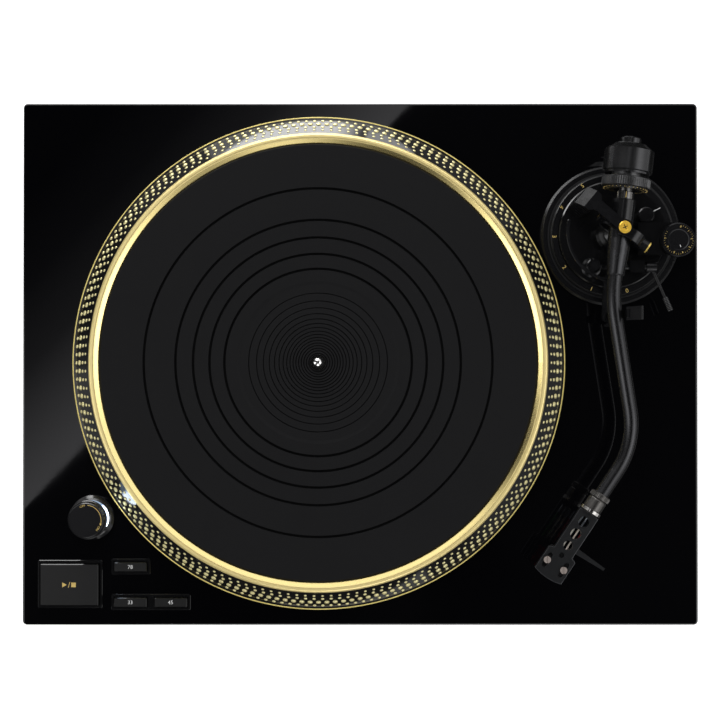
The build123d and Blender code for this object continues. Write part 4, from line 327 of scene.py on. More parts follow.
def mat_paint():
    """Moulded rubber with a very fine ripple, and painted shade in its moulded grooves: they are near-black
    and rougher.
    """
    paint = Paint("mat_rubber")
    radius, height = paint.about(PLATTER_FOOT)

    def past_label(inner, outer):
        """Goes from inner to outer, in millimetres, at the edge of the label's recess."""
        return paint.spread(radius, MM * inner, MM * outer, MM * (LABEL_R - 0.1), MM * (LABEL_R + 0.1))

    sunk = paint.math("SUBTRACT", past_label(PLATTER.z - LABEL_DEEP, PLATTER.z), height)
    deep = paint.math("SUBTRACT", sunk, past_label(0.0, 0.25))
    # Painted shade: 1 where the face sinks into a moulded groove, which turns the colour near-black there.
    groove_shade = paint.math("MULTIPLY", paint.spread(deep, 0.0, 1.0, MM * 0.02, MM * 0.12),
                        paint.within(radius, *(MM * r for r in GROOVES_R)))
    ripple = paint.math("SINE", paint.math("MULTIPLY", radius, 2 * pi / (MM * RIPPLE)))
    ripple_share = paint.spread(radius, 1.0, 0.35, MM * (LABEL_R - 1.5), MM * (LABEL_R + 0.5))
    grain = paint.math("ADD", paint.math("MULTIPLY", ripple, ripple_share), paint.noise(1500.0, 2.0))
    face = paint.blend(paint.noise(9.0, 5.0), (0.0068, 0.0068, 0.0073), (0.0088, 0.0088, 0.0094))
    worn = paint.spread(paint.noise(35.0, 4.0), 0.5, 0.68, 0.3, 0.7)
    return paint.set(
        # Near-black painted shade in the moulded grooves.
        Base_Color=paint.blend(groove_shade, face, (0.0008, 0.0008, 0.0009)),
        Roughness=paint.math("ADD", worn, paint.spread(groove_shade, 0.0, 0.3)),
        Normal=paint.bump(grain, 0.00002),
        Specular_IOR_Level=0.08,
    )


def key_paint():
    """Moulded keys, glossier on their sloping edges than on their flat tops."""
    paint = Paint("key_plastic")
    facing_up = paint.part(paint.source("NewGeometry")["Normal"], "Z")
    return paint.set(
        Base_Color=paint.tones(paint.noise(60.0, 4.0), (0.0050, 0.0050, 0.0052), 0.18),
        Metallic=0.0,
        Roughness=paint.spread(facing_up, 0.10, 0.38, 0.90, 0.97),
        Normal=paint.bump(paint.noise(2400.0, 2.0), 0.000012),
        Specular_IOR_Level=0.4,
    )


def lens_paint():
    """Strobe lens, lit from inside: brighter near its lamp, darker at its ends and towards its top."""
    paint = Paint("strobe_lens")
    a = radians(6.0)
    sideways = paint.vector("DOT_PRODUCT", paint.vector("SUBTRACT", paint.place, TOWER_FOOT * MM),
                            (cos(a), sin(a), 0.0))
    facing = paint.math("DIVIDE", sideways, paint.about(TOWER_FOOT)[0])
    low = paint.spread(paint.part(paint.place, "Z"), 1.0, 0.35, *(MM * z for z in LENS_Z))
    lit = paint.math("MULTIPLY", low, paint.spread(facing, 0.06, 1.0, 0.72, 0.86))
    return paint.set(
        Base_Color=(0.62, 0.76, 0.95),
        Roughness=paint.spread(paint.noise(400.0), 0.08, 0.2),
        Emission_Color=paint.blend(lit, (0.45, 0.66, 1.0), (0.80, 0.90, 1.0)),
        Emission_Strength=paint.math("MULTIPLY", lit, 7.0),
        Normal=paint.bump(paint.noise(600.0), 0.000008),
    )


def lamp_paint():
    paint = Paint("lamp")
    return paint.set(
        Base_Color=paint.blend(paint.noise(900.0), (0.75, 0.85, 1.0), (0.9, 0.95, 1.0)),
        Emission_Color=(0.75, 0.87, 1.0),
        Emission_Strength=paint.spread(paint.noise(900.0), 4.0, 6.0),
        Roughness=0.3,
    )


def ring_paint():
    """Turned black rings of the arm base, dull in the channel round the height numbers."""
    paint = Paint("ring_paint")
    radius, height = paint.about(PIVOT_FOOT)
    lines = paint.turning(radius, height, 2600.0)
    dull = paint.math("MULTIPLY", paint.within(radius, *(MM * r for r in CHANNEL_R)),
                      paint.spread(height, 1.0, 0.0, MM * CHANNEL_Z, MM * (CHANNEL_Z + 0.5)))
    return paint.set(
        Base_Color=paint.blend(lines, (0.0033, 0.0033, 0.0039), (0.0039, 0.0039, 0.0045)),
        Roughness=paint.math("ADD", paint.spread(lines, 0.21, 0.27), paint.spread(dull, 0.0, 0.40)),
        Normal=paint.bump(lines, 0.000006),
        Specular_IOR_Level=0.32,
    )


def stub_paint():
    """Rear stub of the tonearm: black, with one bright index collar."""
    paint = Paint("index_chrome")
    radius, along = paint.about(PIVOT, ARM_REAR)
    bright = paint.within(along, *(MM * s for s in INDEX_COLLAR))
    marks = paint.turning(radius, along, 2600.0)
    return paint.set(
        Base_Color=paint.blend(bright, SATIN, (0.17, 0.165, 0.16)),
        Metallic=bright,
        Roughness=paint.spread(marks, 0.14, 0.26),
        Normal=paint.bump(marks, 0.000006),
    )


def leads_paint():
    """Cartridge leads: one colour for each, by its place across the headshell, and bare pins."""
    paint = Paint("leads")
    from_head = paint.vector("SUBTRACT", paint.place, HEAD * MM)
    across = paint.vector("DOT_PRODUCT", from_head, HEAD_SIDE)
    ahead = paint.vector("DOT_PRODUCT", from_head, HEAD_DIR)

    def split(place, soft, left, right):
        """One colour on each side of a line along the headshell."""
        share = paint.spread(across, 0.0, 1.0, MM * (place - soft), MM * (place + soft))
        return paint.blend(share, left, right)

    left_pair = split(-3.0, 0.2, (0.05, 0.30, 0.06), (0.80, 0.76, 0.68))
    right_pair = split(3.0, 0.2, (0.74, 0.66, 0.58), (0.60, 0.03, 0.03))
    pins = paint.spread(ahead, 1.0, 0.0, MM * (PINS_START - 0.2), MM * (PINS_START + 0.2))
    return paint.set(
        Base_Color=paint.blend(pins, split(0.0, 0.1, left_pair, right_pair), (0.42, 0.45, 0.50)),
        Metallic=pins,
        Roughness=paint.spread(paint.noise(900.0), 0.3, 0.45),
        Normal=paint.bump(paint.noise(1800.0), 0.00001),
    )


def foot_paint():
    """Turned plastic above, a rubber pad below."""
    paint = Paint("foot")
    pad = paint.spread(paint.part(paint.place, "Z"), 1.0, 0.0, MM * (PAD_Z - 0.1), MM * (PAD_Z + 0.1))
    return paint.set(
        Base_Color=paint.blend(pad, (0.0125, 0.0125, 0.013), (0.019, 0.019, 0.019)),
        Roughness=paint.math("ADD", paint.spread(paint.noise(60.0), 0.28, 0.36),
                             paint.math("MULTIPLY", pad, 0.4)),
        Normal=paint.bump(paint.math("ADD", paint.noise(1500.0), pad), 0.00003),
    )


SATIN = (0.0050, 0.0050, 0.0056)
PALE_GOLD = (1.0, 0.79, 0.34)

# ---- plinth, its underside and what is inside it ----
lacquer = lacquer_paint()
plinth_base = plain("plinth_base", (0.010, 0.010, 0.011), 0.42, grain=1400.0, depth=0.00003)
cover_paint = plain("cover_powder", (0.016, 0.016, 0.017), 0.55, grain=1100.0, depth=0.00005)
zinc = plain("zinc", (0.5, 0.5, 0.49), 0.3, metal=1.0, grain=700.0, cloud=120.0)
terminal_plastic = plain("terminal_plastic", (0.011, 0.011, 0.012), 0.5, grain=1500.0, depth=0.00003)
inlet_plastic = plain("inlet_plastic", (0.010, 0.010, 0.010), 0.45, grain=1800.0)
jack_gold = plain("jack_gold", (0.86, 0.62, 0.26), 0.2, metal=1.0, grain=1800.0, depth=0.000006,
                  cloud=200.0)
core_steel = plain("core_steel", (0.22, 0.22, 0.23), 0.5, metal=1.0, grain=400.0)
sintered = plain("sintered", (0.09, 0.09, 0.09), 0.6, metal=0.6, grain=1600.0, depth=0.00003)
board = board_paint()
copper = copper_paint()
bearing = lathed("bearing", (0.56, 0.56, 0.57), 0.25, PLATTER_FOOT, metal=1.0)
foot = foot_paint()

# ---- platter, keys and tower ----
platter = platter_paint()
rubber = mat_paint()
chrome = lathed("chrome", (0.80, 0.79, 0.78), 0.07, PLATTER_FOOT, metal=1.0, depth=0.000003, tone=0.04)
key_plastic = key_paint()
gloss_plastic = plain("gloss_plastic", (0.0042, 0.0042, 0.0046), 0.12, grain=500.0, depth=0.000003,
                      wear=0.04)
tower_gloss = lathed("tower_gloss", (0.006, 0.006, 0.0068), 0.16, TOWER_FOOT, depth=0.000004)
lens = lens_paint()
lamp = lamp_paint()

# ---- tonearm ----
SATIN_FINISH = {"grain": 2600.0, "depth": 0.000006, "cloud": 45.0, "tone": 0.1}
arm_paint = plain("arm_paint", SATIN, 0.22, **SATIN_FINISH).set(Specular_IOR_Level=0.3)
yoke_paint = plain("yoke_paint", SATIN, 0.26, **SATIN_FINISH).set(Specular_IOR_Level=0.12)
black_rings = ring_paint()
tube_paint = plain("tube_paint", (0.039, 0.039, 0.041), 0.27, metal=0.9, grain=3200.0, depth=0.000001,
                   cloud=35.0, tone=0.04, wear=0.015)
cap_gold = lathed("cap_gold", (0.96, 0.58, 0.07), 0.3, PIVOT_FOOT, metal=0.6, depth=0.000006)
pin_gold = lathed("pin_gold", (0.95, 0.66, 0.16), 0.3, PIVOT, HEAD_SIDE, metal=0.55, depth=0.000006)
index_chrome = stub_paint()
weight_paint = lathed("weight_paint", (0.060, 0.060, 0.062), 0.22, PIVOT, ARM_REAR, metal=0.9, depth=0.000006)
dial_paint = lathed("dial_paint", (0.10, 0.10, 0.102), 0.28, PIVOT, ARM_REAR, metal=0.9, depth=0.000008)
collar_paint = lathed("collar_paint", (0.115, 0.11, 0.105), 0.27, HEAD, HEAD_DIR, metal=0.9, depth=0.000008)
collar_chrome = lathed("collar_chrome", (0.62, 0.60, 0.58), 0.16, HEAD, HEAD_DIR, metal=1.0, depth=0.000006)
head_paint = plain("head_paint", (0.0060, 0.0064, 0.0072), 0.30, grain=2200.0, depth=0.000003, cloud=80.0,
                   tone=0.06, wear=0.02)
cartridge_paint = plain("cartridge_paint", (0.012, 0.012, 0.013), 0.35, grain=1800.0)
stylus_red = plain("stylus_red", (0.28, 0.012, 0.010), 0.2, grain=900.0, cloud=200.0)
head_zinc = plain("head_zinc", (0.34, 0.29, 0.265), 0.35, metal=0.45, grain=1200.0, cloud=200.0)
# Lighter metal for the strip round the headshell's top: a painted highlight on that edge.
edge_highlight_metal = plain("edge_highlight_metal", (0.075, 0.077, 0.082), 0.3, metal=0.6, grain=2200.0, depth=0.000003,
                   cloud=120.0)
leads = leads_paint()

# ---- inks, the dots and the jacks' inserts ----
INK_FINISH = {"grain": 2500.0, "depth": 0.000006, "cloud": 300.0}
DOT_FINISH = {"grain": 2500.0, "depth": 0.000004, "cloud": 90.0}
gold_ink = plain("gold_ink", (0.82, 0.60, 0.20), 0.32, metal=0.55, **INK_FINISH)
white_ink = plain("white_ink", (0.62, 0.62, 0.62), 0.5, **INK_FINISH)
dot_gold = plain("dot_gold", (0.95, 0.80, 0.42), 0.33, metal=0.6, **DOT_FINISH)
line_gold = plain("line_gold", (0.92, 0.72, 0.24), 0.4, metal=0.3, **DOT_FINISH)
dark_ink = plain("dark_ink", (0.02, 0.014, 0.006), 0.4, metal=0.3, grain=2500.0, cloud=300.0)
red_plastic = plain("red_plastic", (0.45, 0.015, 0.012), 0.35, grain=1500.0, cloud=200.0)
white_plastic = plain("white_plastic", (0.70, 0.70, 0.67), 0.35, grain=1500.0, cloud=200.0)

NODE_PAINTS = {
    "top_cabinet": lacquer, "heavy_base": plinth_base, "bottom_cover": cover_paint, "cover_screws": zinc,
    "terminal_panel": terminal_plastic, "phono_jacks": jack_gold, "ground_terminal": jack_gold,
    "mains_inlet": inlet_plastic, "circuit_board": board, "control_board": board, "stator_board": board,
    "transformer": core_steel, "stator_coils": copper, "motor_bearing": bearing, "rotor_magnet": sintered,
    "foot_front_left": foot, "foot_front_right": foot, "foot_rear_left": foot, "foot_rear_right": foot,
    "platter": platter, "platter_mat": rubber, "spindle": chrome,
    "start_bezel": gloss_plastic, "speed_bezel": gloss_plastic, "speed_78_bezel": gloss_plastic,
    "start_button": key_plastic, "speed_33_button": key_plastic, "speed_45_button": key_plastic,
    "speed_78_button": key_plastic, "strobe_housing": tower_gloss, "power_knob": tower_gloss,
    "strobe_lens": lens, "strobe_lamp": lamp,
    "arm_base_ring": black_rings, "height_ring": black_rings, "antiskate_dial": black_rings,
    "arm_platform": gloss_plastic, "gimbal_yoke": yoke_paint, "gimbal_frame": arm_paint,
    "arm_rest": arm_paint, "rest_latch": arm_paint, "height_lock": arm_paint,
    "antiskate_housing": arm_paint, "lift_cylinder": arm_paint, "lift_rail": arm_paint,
    "cue_lever": arm_paint, "pivot_cap": cap_gold, "gimbal_pins": pin_gold, "arm_tube": tube_paint,
    "rear_stub": index_chrome, "force_dial": dial_paint, "counterweight": weight_paint,
    "counterweight_sleeve": weight_paint, "headshell": head_paint, "finger_lift": head_paint,
    "headshell_screws": head_zinc, "headshell_collar": collar_paint, "cartridge": cartridge_paint,
    "stylus": stylus_red, "cartridge_leads": leads,
}
for node_name, node_paint in NODE_PAINTS.items():
    node = nodes[node_name]
    if not node.material_slots:
        node.data.materials.append(node_paint.material)
    for material_slot in node.material_slots:
        material_slot.material = node_paint.material


# ======================================================================
# shapes
# ======================================================================

INK = 0.05          # thickness of a printed mark
THIN_INK = 0.04


class Shape:
    """Vertices in millimetres and faces, gathered into one piece."""

    def __init__(self):
        self.points = []
        self.faces = []

    def add(self, points, faces):
        start = len(self.points)
        self.points += [Vector(p) for p in points]
        self.faces += [[start + i for i in face] for face in faces]
        return self

    def prism(self, outline, axes, depth=INK):
        """A flat plate: outline in the plane of axes (origin, x, y), raised by depth."""
        origin, x_dir, y_dir = axes
        up = x_dir.cross(y_dir)
        count = len(outline)
        points = [origin + x_dir * u + y_dir * v for u, v in outline]
        points += [p + up * depth for p in points]
        faces = [[i, (i + 1) % count, count + (i + 1) % count, count + i] for i in range(count)]
        return self.add(points, faces + [list(range(count))[::-1], list(range(count, 2 * count))])

    def arc(self, axes, inner, outer, start, end, depth=INK, steps=48):
        """A curved bar between two angles in degrees."""
        origin, x_dir, y_dir = axes
        up = x_dir.cross(y_dir)
        rows = []
        for i in range(steps + 1):
            a = radians(start + (end - start) * i / steps)
            out = x_dir * cos(a) + y_dir * sin(a)
            rows.append([origin + out * inner, origin + out * outer,
                         origin + out * outer + up * depth, origin + out * inner + up * depth])
        return self.tube(rows, closed=False)

    def tube(self, rows, closed):
        """Joins rows of points, each a closed loop, into a tube that is shut or capped at its ends."""
        count, width = len(rows), len(rows[0])
        faces = []
        for i in range(count if closed else count - 1):
            j = (i + 1) % count
            for k in range(width):
                m = (k + 1) % width
                faces.append([i * width + k, j * width + k, j * width + m, i * width + m])
        if not closed:
            faces.append(list(range(width)))
            faces.append([(count - 1) * width + k for k in range(width)][::-1])
        return self.add([p for row in rows for p in row], faces)

    def turned(self, origin, axis, profile, steps=64, ridges=0, depth=0.0):
        """A closed profile of (along, radius) points, turned about an axis.

        Ridges stand out by depth, at all points of the profile but its first and last.
        """
        side = axis.orthogonal().normalized()
        other = axis.cross(side)
        if ridges:
            steps = 4 * ridges
        rows = []
        for i in range(steps):
            a = 2 * pi * i / steps
            out = side * cos(a) + other * sin(a)
            lift = depth if i % 4 in (1, 2) else 0.0
            lifts = [0.0] + [lift] * (len(profile) - 2) + [0.0]
            rows.append([origin + axis * s + out * (r + more) for (s, r), more in zip(profile, lifts)])
        return self.tube(rows, closed=True)

    def dome(self, centre, out, across, radius, height, steps=12, rings=3):
        """A low dome round centre, on a surface whose normal is out."""
        other = out.cross(across)
        points = []
        for k in range(rings):
            lift = pi / 2 * k / rings
            for i in range(steps):
                a = 2 * pi * i / steps
                side = (across * cos(a) + other * sin(a)) * radius * cos(lift)
                points.append(centre + out * height * sin(lift) + side)
        points.append(centre + out * height)
        faces = []
        for k in range(rings - 1):
            for i in range(steps):
                j = (i + 1) % steps
                faces.append([k * steps + i, k * steps + j, (k + 1) * steps + j, (k + 1) * steps + i])
        last = (rings - 1) * steps
        faces += [[last + i, last + (i + 1) % steps, last + steps] for i in range(steps)]
        faces.append(list(range(steps))[::-1])
        return self.add(points, faces)

    def text(self, words, axes, size, depth=INK):
        """Plain raised letters, centred on the origin of axes."""
        curve = bpy.data.curves.new("letters", "FONT")
        curve.body = words
        curve.size = size
        curve.align_x = "CENTER"
        curve.align_y = "CENTER"
        curve.extrude = depth / 2
        curve.resolution_u = 3
        holder = bpy.data.objects.new("letters", curve)
        bpy.context.scene.collection.objects.link(holder)
        mesh = bpy.data.meshes.new_from_object(
            holder.evaluated_get(bpy.context.evaluated_depsgraph_get())
        )
        origin, x_dir, y_dir = axes
        up = x_dir.cross(y_dir)
        points = [
            origin + x_dir * v.co.x + y_dir * v.co.y + up * (v.co.z + depth / 2) for v in mesh.vertices
        ]
        self.add(points, [list(p.vertices) for p in mesh.polygons])
        bpy.data.objects.remove(holder)
        bpy.data.curves.remove(curve)
        bpy.data.meshes.remove(mesh)
        return self

    def piece(self, name, body, paint, slot, smooth=False):
        """Makes the object and lets it ride on a body."""
        mesh = bpy.data.meshes.new(name)
        mesh.from_pydata([p * MM for p in self.points], [], self.faces)
        mesh.validate()
        mesh.polygons.foreach_set("use_smooth", [smooth] * len(mesh.polygons))
        mesh.update()
        made = bpy.data.objects.new(name, mesh)
        bpy.context.scene.collection.objects.link(made)
        mesh.materials.append(paint.material)
        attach(made, body)


def level(point, turn=0.0):
    """Axes of a level surface at a point, with local x turned by so many degrees."""
    a = radians(turn)
    return point, Vector((cos(a), sin(a), 0.0)), Vector((-sin(a), cos(a), 0.0))


def bar(x0, x1, y0, y1):
    """Outline of a rectangle."""
    return [(x0, y0), (x1, y0), (x1, y1), (x0, y1)]


def band(low, high, inner, outer):
    """Profile of a plain ring, from low to high along its axis."""
    return [(low, inner), (low, outer), (high, outer), (high, inner)]


# ---- strobe dots: four rows of gold domes on the platter's sloping band ----
BAND_FOOT = (164.6, 95.0)    # radius and height
BAND_HEAD = (152.6, 111.3)
DOT_ROWS = ((163.3, 186, 1.30), (160.6, 180, 1.85), (157.9, 174, 1.25), (155.5, 170, 1.05))
DOME_SHARE = 0.5             # height of a dome to its radius
DOME_SUNK = 0.05


def add_strobe_dots():
    run = BAND_FOOT[0] - BAND_HEAD[0]
    rise = BAND_HEAD[1] - BAND_FOOT[1]
    slope = atan2(rise, run)
    dots = Shape()
    for row_radius, count, dot_radius in DOT_ROWS:
        row_z = BAND_FOOT[1] + (BAND_FOOT[0] - row_radius) / run * rise
        for i in range(count):
            a = 2 * pi * i / count
            outward = Vector((cos(a), sin(a), 0.0))
            normal = outward * sin(slope) + UP * cos(slope)
            centre = at_height(PLATTER, row_z) + outward * row_radius - normal * DOME_SUNK
            dots.dome(centre, normal, Vector((-sin(a), cos(a), 0.0)), dot_radius,
                      DOME_SHARE * dot_radius + DOME_SUNK)
    dots.piece("strobe_dots", "platter_assembly", dot_gold, "pivot_gold", smooth=True)


# ---- a gold line on the edge of the platter's flange, as (height, radius) points ----
FLANGE_LINE = ((94.9, 165.7), (94.5, 166.3), (94.55, 166.53), (95.06, 166.1), (95.06, 165.7))


def add_flange_line():
    line = Shape().turned(PLATTER_FOOT, UP, FLANGE_LINE, steps=256)
    line.piece("flange_gold_line", "platter_assembly", line_gold, "pivot_gold")


# ---- keys: a play and a stop sign with a stroke between them, and the speeds' digits ----
PLAY_SIGN = ((-4.6, -1.7), (-1.5, 0.0), (-4.6, 1.7))
STROKE = ((-0.75, -1.9), (-0.35, -1.9), (0.75, 1.9), (0.35, 1.9))
STOP_SIGN = bar(1.5, 4.6, -1.55, 1.55)
SPEED_TEXT = 3.6


def key_top(node):
    return level(at_height(middle_of(node), top_of(node)))


def add_key_marks():
    glyph = Shape()
    for outline in (PLAY_SIGN, STROKE, STOP_SIGN):
        glyph.prism(outline, key_top("start_button"))
    glyph.piece("start_stop_glyph", "start_key", gold_ink, "pivot_gold")
    for speed in ("33", "45", "78"):
        digits = Shape().text(speed, key_top(f"speed_{speed}_button"), SPEED_TEXT)
        digits.piece(f"speed_{speed}_digits", f"speed_{speed}_key", white_ink, "index_chrome")


# ---- power switch: an arc with an arrow at its end, between OFF and ON ----
SWITCH_ARC_R = (9.9, 10.25)
ARROW_R = 10.08
ARROW = ((-0.75, 0.0), (0.0, -1.7), (0.75, 0.0))
SWITCH_WORDS = (("OFF", 104.0), ("ON", -34.0))
WORD_R = 9.6
SMALL_TEXT = 2.1
ARC_START = -12.0
ARC_END = 84.0


def add_switch_marks():
    top = top_of("power_knob")
    marks = Shape()
    marks.arc(level(at_height(TOWER, top)), *SWITCH_ARC_R, ARC_START, ARC_END)
    marks.prism(ARROW, level(polar(TOWER, ARROW_R, ARC_START, top), ARC_START))
    for words, turn in SWITCH_WORDS:
        marks.text(words, level(polar(TOWER, WORD_R, turn, top), turn - 90), SMALL_TEXT)
    marks.piece("power_switch_marks", "power_switch", gold_ink, "pivot_gold")


# ---- height ring: gold numbers, and two fine dark lines outside them ----
HEIGHT_ANGLES = (-75.0, -111.0, -146.0, -178.5, -209.0, -239.0)
HEIGHT_NUMBER_R = 38.9
HEIGHT_TEXT = 4.0
CHANNEL_LINES = ((40.1, 40.3), (41.0, 41.25))    # radii
CHANNEL_SPAN = (193.0, 334.0)                    # bearings
CHANNEL_LINE_HIGH = 0.12


def add_height_marks():
    top = top_of("height_ring")
    numbers = Shape()
    for number, turn in enumerate(HEIGHT_ANGLES):
        numbers.text(str(number), level(polar(PIVOT, HEIGHT_NUMBER_R, turn, top), turn + 90), HEIGHT_TEXT)
    numbers.piece("height_ring_numbers", "height_ring_body", gold_ink, "pivot_gold")
    channel = Shape()
    for inner, outer in CHANNEL_LINES:
        channel.arc(level(at_height(PIVOT, top)), inner, outer, *CHANNEL_SPAN, CHANNEL_LINE_HIGH)
    channel.piece("height_ring_channel", "height_ring_body", gloss_plastic, "arm_black")


# ---- fine serration round the arm's base ring, as (height, radius) points ----
SERRATION = ((90.6, 46.6), (90.6, 47.02), (93.4, 47.02), (94.9, 45.6), (94.6, 45.2))


def add_base_serration():
    ring = Shape().turned(PIVOT_FOOT, UP, SERRATION, ridges=150, depth=0.16)
    ring.piece("base_ring_serration", "root", black_rings, "arm_black")


# ---- anti-skate dial: gold numbers with ticks between them, a knurl and a white pointer ----
SKATE_FACE_DOWN = 0.2        # the numbers' face lies this far under the dial's top
SKATE_NUMBERS = 8
SKATE_NUMBER_R = 8.6
SKATE_ZERO = 80.0            # bearing of the number 0
SKATE_STEP = 38.0            # degrees from one number to the next
TICKS_A_STEP = 4
SKATE_TICK = bar(9.0, 9.8, -0.07, 0.07)
SKATE_KNURL = band(120.6, 123.7, 10.9, 11.2)
SKATE_POINTER = bar(-0.25, 0.25, 3.6, 5.0)
POINTER_BEARING = -165.0


def add_skate_marks():
    top = top_of("antiskate_dial")
    face = top - SKATE_FACE_DOWN
    marks = Shape()
    for number in range(SKATE_NUMBERS):
        turn = SKATE_ZERO - SKATE_STEP * number
        marks.text(str(number), level(polar(SKATE, SKATE_NUMBER_R, turn, face), turn - 90), SMALL_TEXT)
        for tick in range(1, TICKS_A_STEP):
            tick_turn = turn - SKATE_STEP * tick / TICKS_A_STEP
            marks.prism(SKATE_TICK, level(at_height(SKATE, face), tick_turn), THIN_INK)
    marks.piece("antiskate_numbers", "antiskate", gold_ink, "pivot_gold")
    knurl = Shape().turned(at_height(SKATE, 0.0), UP, SKATE_KNURL, ridges=60, depth=0.18)
    knurl.piece("antiskate_knurl", "antiskate", black_rings, "arm_black")
    pointer = Shape().prism(SKATE_POINTER, level(at_height(SKATE, top), POINTER_BEARING))
    pointer.piece("antiskate_pointer", "antiskate", white_ink, "index_chrome")


# ---- tracking force dial: knurl, numbers and ticks, placed along the tonearm from its pivot ----
DIAL_FACE = (25.98, 11.6)    # distance from the pivot, and radius
DIAL_RIM = (26.25, 13.9)
DIAL_KNURL = band(27.9, 33.0, 15.2, 15.5)
DIAL_TICKS = 32
TICKS_A_NUMBER = 4
NUMBERS = 4                  # 0 to 3, twice round
DIAL_TEXT = 2.4
FACE_TICK = bar(-0.1, 0.1, -0.7, 0.7)
RIM_TICK = bar(-0.13, 0.13, -0.25, 0.55)
RIM_TICK_HIGH = 0.3
INDEX_PLACE = (22.4, 5.98)
INDEX_LINE = bar(-2.0, 2.0, -0.2, 0.2)
INDEX_HIGH = 0.06


def add_force_marks():
    knurl = Shape().turned(PIVOT, ARM_REAR, DIAL_KNURL, ridges=64, depth=0.32)
    knurl.piece("force_dial_knurl", "dial", dial_paint, "dial_black")
    marks = Shape()
    side = ARM_REAR.cross(UP)
    for i in range(DIAL_TICKS):
        a = 2 * pi * i / DIAL_TICKS
        out = side * sin(a) + UP * cos(a)
        across = out.cross(ARM_REAR)
        face, rim = ((PIVOT + ARM_REAR * s + out * r, across, out) for s, r in (DIAL_FACE, DIAL_RIM))
        if i % TICKS_A_NUMBER == 0:
            marks.text(str(i // TICKS_A_NUMBER % NUMBERS), face, DIAL_TEXT, THIN_INK)
        else:
            marks.prism(FACE_TICK, face, THIN_INK)
        marks.prism(RIM_TICK, rim, RIM_TICK_HIGH)
    marks.piece("force_dial_numbers", "dial", gold_ink, "pivot_gold")
    along, high = INDEX_PLACE
    index = (PIVOT + ARM_REAR * along + UP * high, ARM_REAR, UP.cross(ARM_REAR))
    line = Shape().prism(INDEX_LINE, index, INDEX_HIGH)
    line.piece("index_line", "tonearm", gold_ink, "pivot_gold")


# ---- gold cap: a dark cross in its recess; height lock: a white line along its lever ----
CAP_RECESS = 0.4
CROSS_BAR = bar(-1.7, 1.7, -0.28, 0.28)
LOCK_LINE = bar(5.6, 10.6, -0.25, 0.25)
LOCK_LINE_Z = 108.6
LOCK_BEARING = 27.0


def add_cap_and_lock_marks():
    recess = at_height(PIVOT, top_of("pivot_cap") - CAP_RECESS)
    cross = Shape()
    for turn in (25, 115):
        cross.prism(CROSS_BAR, level(recess, turn))
    cross.piece("cap_recess", "arm_base", dark_ink, "arm_black")
    line = Shape().prism(LOCK_LINE, level(at_height(LOCK, LOCK_LINE_Z), LOCK_BEARING))
    line.piece("height_lock_line", "lock_lever", white_ink, "index_chrome")


# ---- grips: rings round the cue lever, and the knurl and the chrome ring of the headshell's collar ----
CUE_ROOT = (24.5, -22.3)     # from the pivot, seen from above
CUE_RUN = (12.2, -29.7)      # from the root to the tip
CUE_RISE = radians(6.0)
GRIP_RINGS = 9
GRIP_STEP = 1.05
GRIP_START = 9.4             # from the tip
GRIP_RING = ((0.0, 1.6), (0.1, 1.86), (0.5, 1.86), (0.6, 1.6))
COLLAR_KNURL = band(-14.4, -11.5, 6.3, 6.6)
COLLAR_RING = band(-2.95, -0.95, 6.7, 7.04)


def add_grips():
    root = at_height(PIVOT + Vector((*CUE_ROOT, 0.0)), joint_place("cue_lever_raise").z)
    length = hypot(*CUE_RUN)
    aim = Vector((*CUE_RUN, length * sin(CUE_RISE))).normalized()
    grip = Shape()
    for i in range(GRIP_RINGS):
        grip.turned(root + aim * (length - GRIP_START + GRIP_STEP * i), aim, GRIP_RING, steps=20)
    grip.piece("cue_lever_grip", "cue", dial_paint, "dial_black")
    knurl = Shape().turned(HEAD, HEAD_DIR, COLLAR_KNURL, ridges=36, depth=0.22)
    knurl.piece("collar_knurl", "collar", collar_paint, "head_black")
    ring = Shape().turned(HEAD, HEAD_DIR, COLLAR_RING)
    ring.piece("collar_chrome_ring", "collar", collar_chrome, "index_chrome")


# ---- a sloped strip round the top of the headshell in a lighter metal, whose lightness is a painted highlight on its edge ----
HEADSHELL_TOP = HEAD.z + 2.0
NECK_LENGTH = 30.5
NECK_HALF_W = 6.9
HEAD_LENGTH = 50.0
HEAD_HALF_W = 10.1
SHOULDER = 1.2               # length of the step from the neck to the head
NOSE_LENGTH = 1.6            # the head's front is drawn in over this length
NOSE_BEND = (0.45, 0.55)     # its middle corner: length left, and share of the half width
EDGE_W = 0.28
EDGE_RISES = (-0.25, 0.02, 0.06, -0.05)    # over the headshell's top: two outer and two inner corners
LEAST_MITRE = 0.3


def headshell_point(place, height):
    """The point at (along, across) the headshell, at that height."""
    return at_height(HEAD, height) + HEAD_DIR * place.x + HEAD_SIDE * place.y


def add_headshell_edge():
    half = [(0.0, NECK_HALF_W), (NECK_LENGTH, NECK_HALF_W), (NECK_LENGTH + SHOULDER, HEAD_HALF_W),
            (HEAD_LENGTH - NOSE_LENGTH, HEAD_HALF_W),
            (HEAD_LENGTH - NOSE_BEND[0], HEAD_HALF_W * NOSE_BEND[1])]
    outline = [Vector((along, -across)) for along, across in half]
    outline += [Vector((HEAD_LENGTH, 0.0))] + [Vector(point) for point in reversed(half)]
    rows = []
    for i, here in enumerate(outline):
        first = (here - outline[i - 1]).normalized()
        second = (outline[(i + 1) % len(outline)] - here).normalized()
        square = Vector((-first.y, first.x))
        inward = (square + Vector((-second.y, second.x))).normalized()
        inner = here + inward * EDGE_W / max(LEAST_MITRE, inward.dot(square))
        rows.append([headshell_point(place, HEADSHELL_TOP + rise)
                     for place, rise in zip((here, here, inner, inner), EDGE_RISES)])
    Shape().tube(rows, closed=True).piece("headshell_highlight_edge", "tonearm", edge_highlight_metal, "head_black")


# ---- inserts of the phono jacks: white for the left channel, red for the right ----
JACK_SPACING = 20.0
INSERT = band(-0.5, 0.05, 1.65, 3.3)
INSERT_PROUD = 0.02


